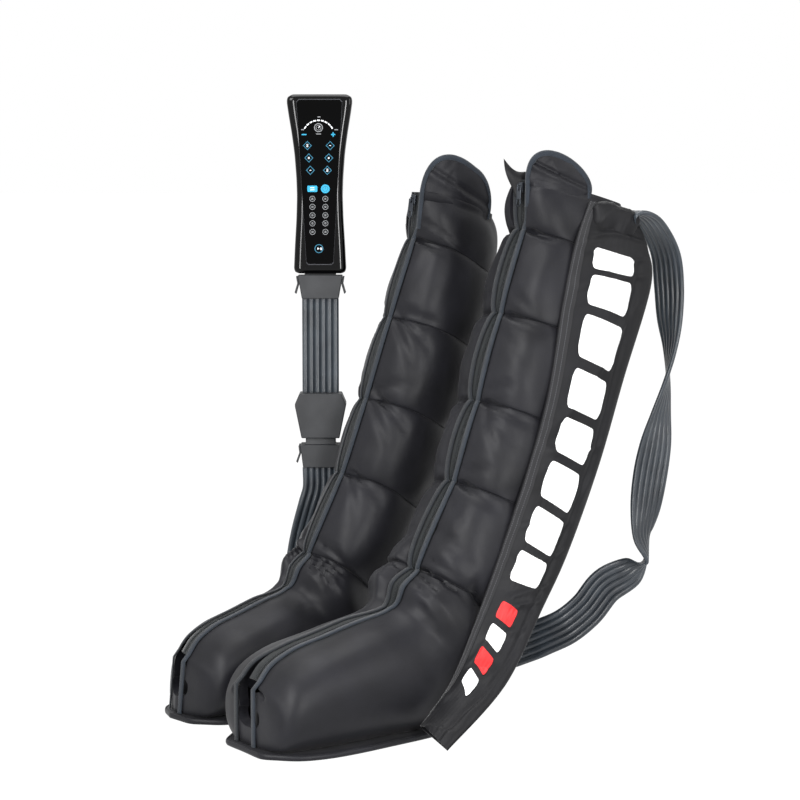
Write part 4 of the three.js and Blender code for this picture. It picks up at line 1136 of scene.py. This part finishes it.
def tongue(boot):
    """The rounded padded top of the outer side, and the tape that binds its edge."""
    t = np.concatenate([[-0.2], np.sin(np.linspace(0, 1, 34) * np.pi / 2) * 0.995])[:, None]
    across = -np.cos(np.linspace(0, np.pi, 41))[None, :]
    t, across = np.broadcast_arrays(t, across)
    body = (1 - across**2) ** 0.5 * (1 - 0.6 * np.clip(t, 0, 1) ** 3)
    flat = np.stack([across * 45, t * 50, 0 * t], axis=-1)
    fold = np.clip(t, 0, 1) - (0.36 - 0.24 * across)
    crease = -4.2 * np.exp(-((fold / 0.06) ** 2)) + 2.6 * np.exp(-(((fold + 0.15) / 0.1) ** 2))
    puff = 1.2 * soft_noise(flat, 0.05, 4) + 1.6 * (ridges(flat * [1, 0.6, 1], 0.035, 9, 5) - 0.3)
    lift = (crease + puff) * body * (t > -0.1)
    front = tongue_point(boot, t, across, -lift)
    back = tongue_point(boot, t, across, TONGUE_EDGE + TONGUE_PAD * body - 2)
    made = boot_skin(boot, "tongue_padding", sandwich(front, back), "cloth", 80, "top_tongue")
    rise = np.sin(np.linspace(0, 1, 40) * np.pi / 2) * 0.999
    first, last = np.full(40, -1.0), np.full(39, 1.0)
    height = np.concatenate([[-0.9, -0.6, -0.3], rise, rise[-2::-1], [-0.15]])
    edge = np.concatenate([[-1, -1, -1], first, last, [1]])
    outer = tongue_point(boot, height, edge)
    inner = tongue_point(boot, height, edge, TONGUE_EDGE)
    side = unit(outer - inner)
    line = (outer + inner) / 2
    out = unit(np.cross(along_of(line), side))
    middle = tongue_point(boot, np.array(0.3), np.array(0.0))
    out *= np.sign(((line - middle) * out).sum(axis=1))[:, None]
    half = TONGUE_EDGE / 2 + 0.7
    profile = [
        (-half, -7.5), (-half - 0.7, -7.2), (-half - 0.5, -2), (-half * 0.7, 0.5), (0, 1.1),
        (half * 0.7, 0.5), (half + 0.5, -2), (half + 0.7, -7.2), (half, -7.5), (0, -7.2),
    ]
    boot_skin(boot, "tongue_edge_tape", sweep(line, side, out, profile), "binding", 80)


# Air tube sleeves


def sleeve_surface(boot, share, t, lift):
    """A point of a sleeve's sheet at a share of its length and of its width, lifted off the boot."""
    share, t, lift = np.broadcast_arrays(share, t, lift)
    hem, edge = sleeve_place(boot, np.maximum(share, 0))
    first, second = sleeve_place(boot, np.array([0.0, 0.02]))
    rolled = np.minimum(share, 0)[..., None] / 0.02
    hem, edge = hem + rolled * (first[1] - first[0]), edge + rolled * (second[1] - second[0])
    step = 0.02
    ahead = sum(sleeve_place(boot, np.clip(share + step, step, 1)))
    behind = sum(sleeve_place(boot, np.clip(share - step, 0, 1 - step)))
    out = unit(np.cross(ahead - behind, edge - hem))
    out = np.where(out[..., 1:2] * boot["sleeve"] < 0, -out, out)
    return hem + (edge - hem) * t[..., None] + out * lift[..., None]


def front_lift(share, t):
    """How far a sleeve's front sheet stands off, with its folds and the tubes under it."""
    along, across = share * SLEEVE_LENGTH, t * SLEEVE_WIDTH
    flat = stacked(along, across, 0)
    full = np.sin(np.pi * np.clip(t, 0, 1)) ** 0.6
    folds = 4 * ridges(flat * [1, 0.45, 1], 0.021, 11, 4) - 1.3
    small = 0.7 * soft_noise(flat * [1, 0.6, 1], 0.06, 12)
    slack = np.clip(2 * soft_noise(flat * [1, 0.2, 1], 0.022, 15), 0, 1) * np.exp(-(((t - 0.16) / 0.12) ** 2))
    puckers = 0.9 * slack * np.sin(along * 2 * np.pi / 24)
    crease = np.exp(-(((t - 0.8 - 0.03 * np.sin(17 * share)) / 0.045) ** 2)) * smoothstep(share, 0.1, 0.25)
    tubes = 0.2 * np.cos((across - SLEEVE_WIDTH / 2) / TUBE_PITCH * 2 * np.pi) * (np.abs(t - 0.5) < 0.25)
    detail = (folds + small + puckers - 3 * crease + tubes) * np.minimum(1, full * 1.2)
    return 2 * SLEEVE_CLOTH + GAP + SLEEVE_CROWN * full + detail


def sheet_piece(boot, name, node, lift_of, rows, cols, finish, top=0.0):
    """One sheet of a sleeve."""
    share = np.linspace(-top, 1, rows)[:, None]
    t = np.linspace(0, 1, cols)[None, :]
    lift = lift_of(share, t)
    rings = sandwich(*(sleeve_surface(boot, share, t, height) for height in (lift, lift - SLEEVE_SHEET)))
    return boot_skin(boot, name, rings, finish, 75, node)


def patch(boot, name, share, t, above, thickness, finish):
    """A small sheet that follows the front of the sleeve: a hem or a print."""
    share, t = np.broadcast_arrays(share, t)
    lift = front_lift(share, t) + above
    rings = sandwich(*(sleeve_surface(boot, share, t, height) for height in (lift + thickness, lift)))
    return boot_skin(boot, name, rings, finish, 75)


def printed(boot):
    """Slanted bars with rounded ends, printed along the sleeve."""
    u, w = np.linspace(0, 1, 21)[:, None], np.linspace(0, 1, 31)[None, :]
    round_end = np.sqrt(np.maximum(0.3, 1 - (2 * w - 1) ** 20))
    made = []
    for i, (middle, half, low, high, finish) in enumerate(PRINTS):
        share = middle + (2 * u - 1) * half * round_end + PRINT_SLANT * (w - 0.5)
        made.append(patch(boot, f"sleeve_print_{i + 1}", share, low + (high - low) * w, 0.9, 0.15, finish))
    return made


def sleeve(boot):
    front = sheet_piece(
        boot, "sleeve_front_cloth", "sleeve_front", front_lift, 190, 40, "sleeve", top=SLEEVE_TOP,
    )
    back = sheet_piece(
        boot, "sleeve_back_cloth", "sleeve_back",
        lambda s, t: SLEEVE_CLOTH - 0.1 + 0 * s + np.sin(np.pi * t) ** 0.6, 90, 14, "lining",
    )
    down, across = np.linspace(0, 1, 190)[:, None], np.linspace(0, 1, 6)[None, :]
    down = (1 + SLEEVE_TOP) * down - SLEEVE_TOP
    hem = patch(boot, "sleeve_hem", down, 0.002 + 0.105 * across, 0.15, 0.8, "hem")
    prints = printed(boot) if boot["sleeve"] < 0 else []
    points, sides, outs = (values[:SLEEVE_TUBE_STEPS] for values in tubes_line(boot, SLEEVE_FINE_STEPS))
    rings = sweep(points, sides, outs, ribbon_profile())
    boot_skin(boot, "sleeve_tube_set", rings, "hose", 60, "sleeve_tubes")


def peeled_corner(boot):
    """The corner of the inner panel that stands away above the slider."""
    start = settle(boot_point(True, 0.0, 0.0, 0.0), boot)
    right, ahead, up = np.array([0.83, -0.56, 0]), np.array([0.56, 0.83, 0]), np.array([0, 0, 1.0])
    low, high, tip = (
        start + right * a + up * b + ahead * c for a, b, c in ((-14, -12, 7), (4, 11, 9), (-26, 29, 10))
    )
    t, u = np.linspace(-0.3, 1, 26)[:, None, None], np.linspace(0, 1, 14)[None, :, None]
    left_edge = low + (tip - low) * t - right * 3 * np.sin(np.pi * np.clip(t, 0, 1))
    top_edge = high + (tip - high) * t - up * 7 * np.sin(np.pi * np.clip(t, 0, 1))
    face = left_edge + (top_edge - left_edge) * u - ahead * 4 * np.sin(np.pi * u) * np.cos(2.2 * t)
    rings = sandwich(face, face + ahead * 2.2)
    loft(boot["side"] + "_peeled_corner", rings, "lining", "boots", 80)


peeled_corner(BOOTS["left"])
for boot in BOOTS.values():
    zipper(boot)
    toe_fold(boot)
    sole(boot)
    tongue(boot)
    sleeve(boot)

# Controller: handset, plugs, splitter and the ribbon between them


def handset_half(node, facing):
    """One half of the housing, with rounded shoulders and ends."""
    ends, tuck, flatten, square, split = 9.0, 4.5, 7.5, 0.36, 0.25
    rise = ends * (1 - np.cos(np.linspace(0.12, np.pi / 2, 8)))
    straight = np.linspace(ends, HANDSET_HEIGHT - ends, 60)[1:-1]
    z = np.concatenate([rise, straight, HANDSET_HEIGHT - rise[::-1]])
    width = np.interp(z, HANDSET_SIDE[:, 1], HANDSET_SIDE[:, 0])
    width[10:-10] = np.convolve(width, np.array([1, 2, 3, 2, 1]) / 9, "same")[10:-10]
    near = np.minimum(1, np.minimum(z, HANDSET_HEIGHT - z) / ends)
    shrink = 1 - np.sqrt(1 - (1 - near) ** 2)
    width = (width - tuck * shrink)[:, None]
    depth = (HANDSET_DEPTH / 2 - flatten * shrink)[:, None]
    a = np.linspace(0, np.pi, 49)
    x = np.sign(np.cos(a)) * np.abs(np.cos(a)) ** square
    y = np.abs(np.sin(a)) ** square
    rings = stacked(x * width, facing * (split + y * (depth - split)), z[:, None] + HANDSET_FOOT)
    loft(node + "_moulding", tower(rings), "housing", "controller", 50, node)


def band(outer, inner):
    """Points and quads between two outlines with as many points."""
    count = len(outer)
    quads = [(j, (j + 1) % count, count + (j + 1) % count, count + j) for j in range(count)]
    return np.concatenate([outer, inner]), quads


def disc(x, z, r, hole=0.0, around=28, squash=1.0):
    """A disc, or a ring when it has a hole."""
    a = np.linspace(0, 2 * np.pi, around, endpoint=False)
    spoke = np.stack([np.cos(a), squash * np.sin(a)], -1)
    return band([x, z] + r * spoke, [x, z] + hole * spoke)


def rounded(x, z, width, height, r):
    """A rounded rectangle, filled from its middle."""
    points = []
    for cx, cz, start in ((1, 1, 0), (-1, 1, 90), (-1, -1, 180), (1, -1, 270)):
        corner = (x + cx * (width / 2 - r), z + cz * (height / 2 - r))
        for k in range(6):
            a = math.radians(start + 18 * k)
            points.append((corner[0] + r * math.cos(a), corner[1] + r * math.sin(a)))
    return band(points, [(x, z)] * len(points))


def bar(x, z, length, width, angle=0.0):
    """A straight bar about its middle."""
    c, s = math.cos(angle), math.sin(angle)
    corners = [(-length, -width), (length, -width), (length, width), (-length, width)]
    return np.array([(x + (u * c - w * s) / 2, z + (u * s + w * c) / 2) for u, w in corners]), [(0, 1, 2, 3)]


def marks(name, shapes, finish, level=0):
    """Flat marks on the touch panel: one thin piece for all that share a finish."""
    front = -HANDSET_DEPTH / 2 - MARK_LIFT - MARK_THICKNESS * level
    points, faces = [], []
    for outline, quads in shapes:
        base = len(points)
        count = len(outline)
        for y in (front, front - MARK_THICKNESS):
            points += [(x, y, z + HANDSET_FOOT) for x, z in outline]
        edges = {}
        for quad in quads:
            faces.append([base + k for k in quad])
            faces.append([base + count + k for k in reversed(quad)])
            for a, b in zip(quad, quad[1:] + quad[:1]):
                edges[frozenset((a, b))] = None if frozenset((a, b)) in edges else (a, b)
        for a, b in filter(None, edges.values()):
            faces.append((base + a, base + b, base + count + b, base + count + a))
    piece(name, tower(np.array(points)), faces, finish, "controller", 30)


def panel_marks():
    """Plain marks in the places of the panel's lit keys and scale."""
    white, grey, blue, teal, pips = [], [], [], [], []
    arc, dial, key = (-1.3, 199.9), (-1.3, 212.6), (8.3, 123.9)
    for i in range(9):
        a = math.radians(146 - 112 * i / 8)
        x, z = arc[0] + 23.2 * math.cos(a), arc[1] + 23.2 * math.sin(a)
        white.append(bar(x, z, 4.1, 1.8, a - math.pi / 2))
    grey += [bar(-24.5, 209.6, 4, 1.3), bar(-0.5, 228, 4.5, 1.3), bar(24.5, 209.6, 5, 1.3)]
    grey += [bar(-1.3, 203.4, 7, 1.2), disc(*dial, 6.4, 5.3), disc(*dial, 3.9, 3.2)]
    white.append(bar(-0.4, 213.4, 3.2, 1, 0.9))
    blue += [bar(-22.3, 202.6, 7, 1.7), bar(20, 202.6, 6, 1.8), bar(20, 202.6, 1.8, 6)]
    for side in (-1, 1):
        for row in range(3):
            x, z = side * (16.6 - 2.1 * row) - 1, 186.6 - 17.9 * row
            teal.append(disc(x, z, 6.4, 5.1, around=4, squash=1.05))
            for k in range(3 - row if side < 0 else row + 1):
                pips.append(bar(x, z + 1.6 * (k - (2 - row if side < 0 else row) / 2), 2.6, 0.9))
    blue += [rounded(-10.6, 123.9, 14.6, 9.2, 1.6), disc(*key, 6.4)]
    pips += [bar(-10.6, 125.4, 6, 1), bar(-10.6, 122.4, 6, 1)]
    clock = [disc(*key, 4.1, 3.4), bar(8.3, 125, 2.8, 0.8, math.pi / 2)]
    for x in (-10.6, 8.3):
        for z in (109.4, 97.7, 85.3, 73.6, 61.2):
            grey += [disc(x, z, 4.2, 3.5), bar(x, z + 0.8, 3, 0.9), bar(x, z - 0.8, 3, 0.9)]
    teal.append(disc(-1.3, 36.7, 6.4, 5.3))
    pips += [disc(-2.4, 36.7, 2.2, 0.0, around=3), bar(1.1, 36.7, 0.9, 3.6), bar(2.7, 36.7, 0.9, 3.6)]
    marks("panel_marks_white", white, "icon_white")
    marks("panel_marks_grey", grey, "icon_grey")
    marks("panel_marks_blue", blue, "icon_blue")
    marks("panel_marks_teal", teal, "icon_teal")
    marks("panel_clock_marks", clock, "icon_teal", level=1)
    marks("panel_key_marks", pips, "icon_white", level=1)


def panel_edge_highlight():
    """Thin raised grey line round the touch panel: a painted highlight standing in for the lit edge of the
    panel's bevel.
    """
    sides = np.concatenate([TOUCH_PANEL_SIDE, TOUCH_PANEL_SIDE[::-1] * [-1, 1]])
    marks("panel_edge_highlight", [band(sides, sides - unit(sides - sides.mean(axis=0)) * 1.1)], "edge_highlight")


handset_half("front_housing", -1)
handset_half("rear_housing", 1)
refined("touch_panel", "panel", "controller", 0.3)
panel_marks()
panel_edge_highlight()

# The other rigid nodes of each body, with their finish and the width of their bevels
RIGID = {
    "controller": {
        "circuit_board": ("board", 0.2), "battery_pack": ("battery", 3), "air_pump": ("plug", 1.5),
        "pump_motor": ("steel", 0.6), "valve_block": ("plug", 1), "air_socket": ("plug", 1),
        "charge_port": ("steel", 0.3),
    },
    "splitter": {
        "splitter_front_shell": ("plug", 1.4), "splitter_rear_shell": ("plug", 1.4),
        "splitter_manifold": ("rubber", 1), "plug_gasket": ("rubber", 0.4),
    },
}
for body, nodes in RIGID.items():
    for node, (finish, width) in nodes.items():
        refined(node, finish, body, width)
for plug, body in (("controller_plug", "splitter"), ("rear_leg_plug", "boots"), ("front_leg_plug", "boots")):
    refined(plug, "plug", body, 1.4)
    for hand in ("right", "left"):
        lever = f"{plug}_{hand}_lever"
        refined(lever, "plug", lever, 0.7)

high = np.linspace(MAIN_RIBBON_FOOT, MAIN_RIBBON_FOOT + MAIN_RIBBON - GAP, 24)
rings = [[(x, y, z) for x, y in ribbon_profile()] for z in high]
loft("main_ribbon_tubes", tower(rings), "hose", "splitter", 60, "main_ribbon")
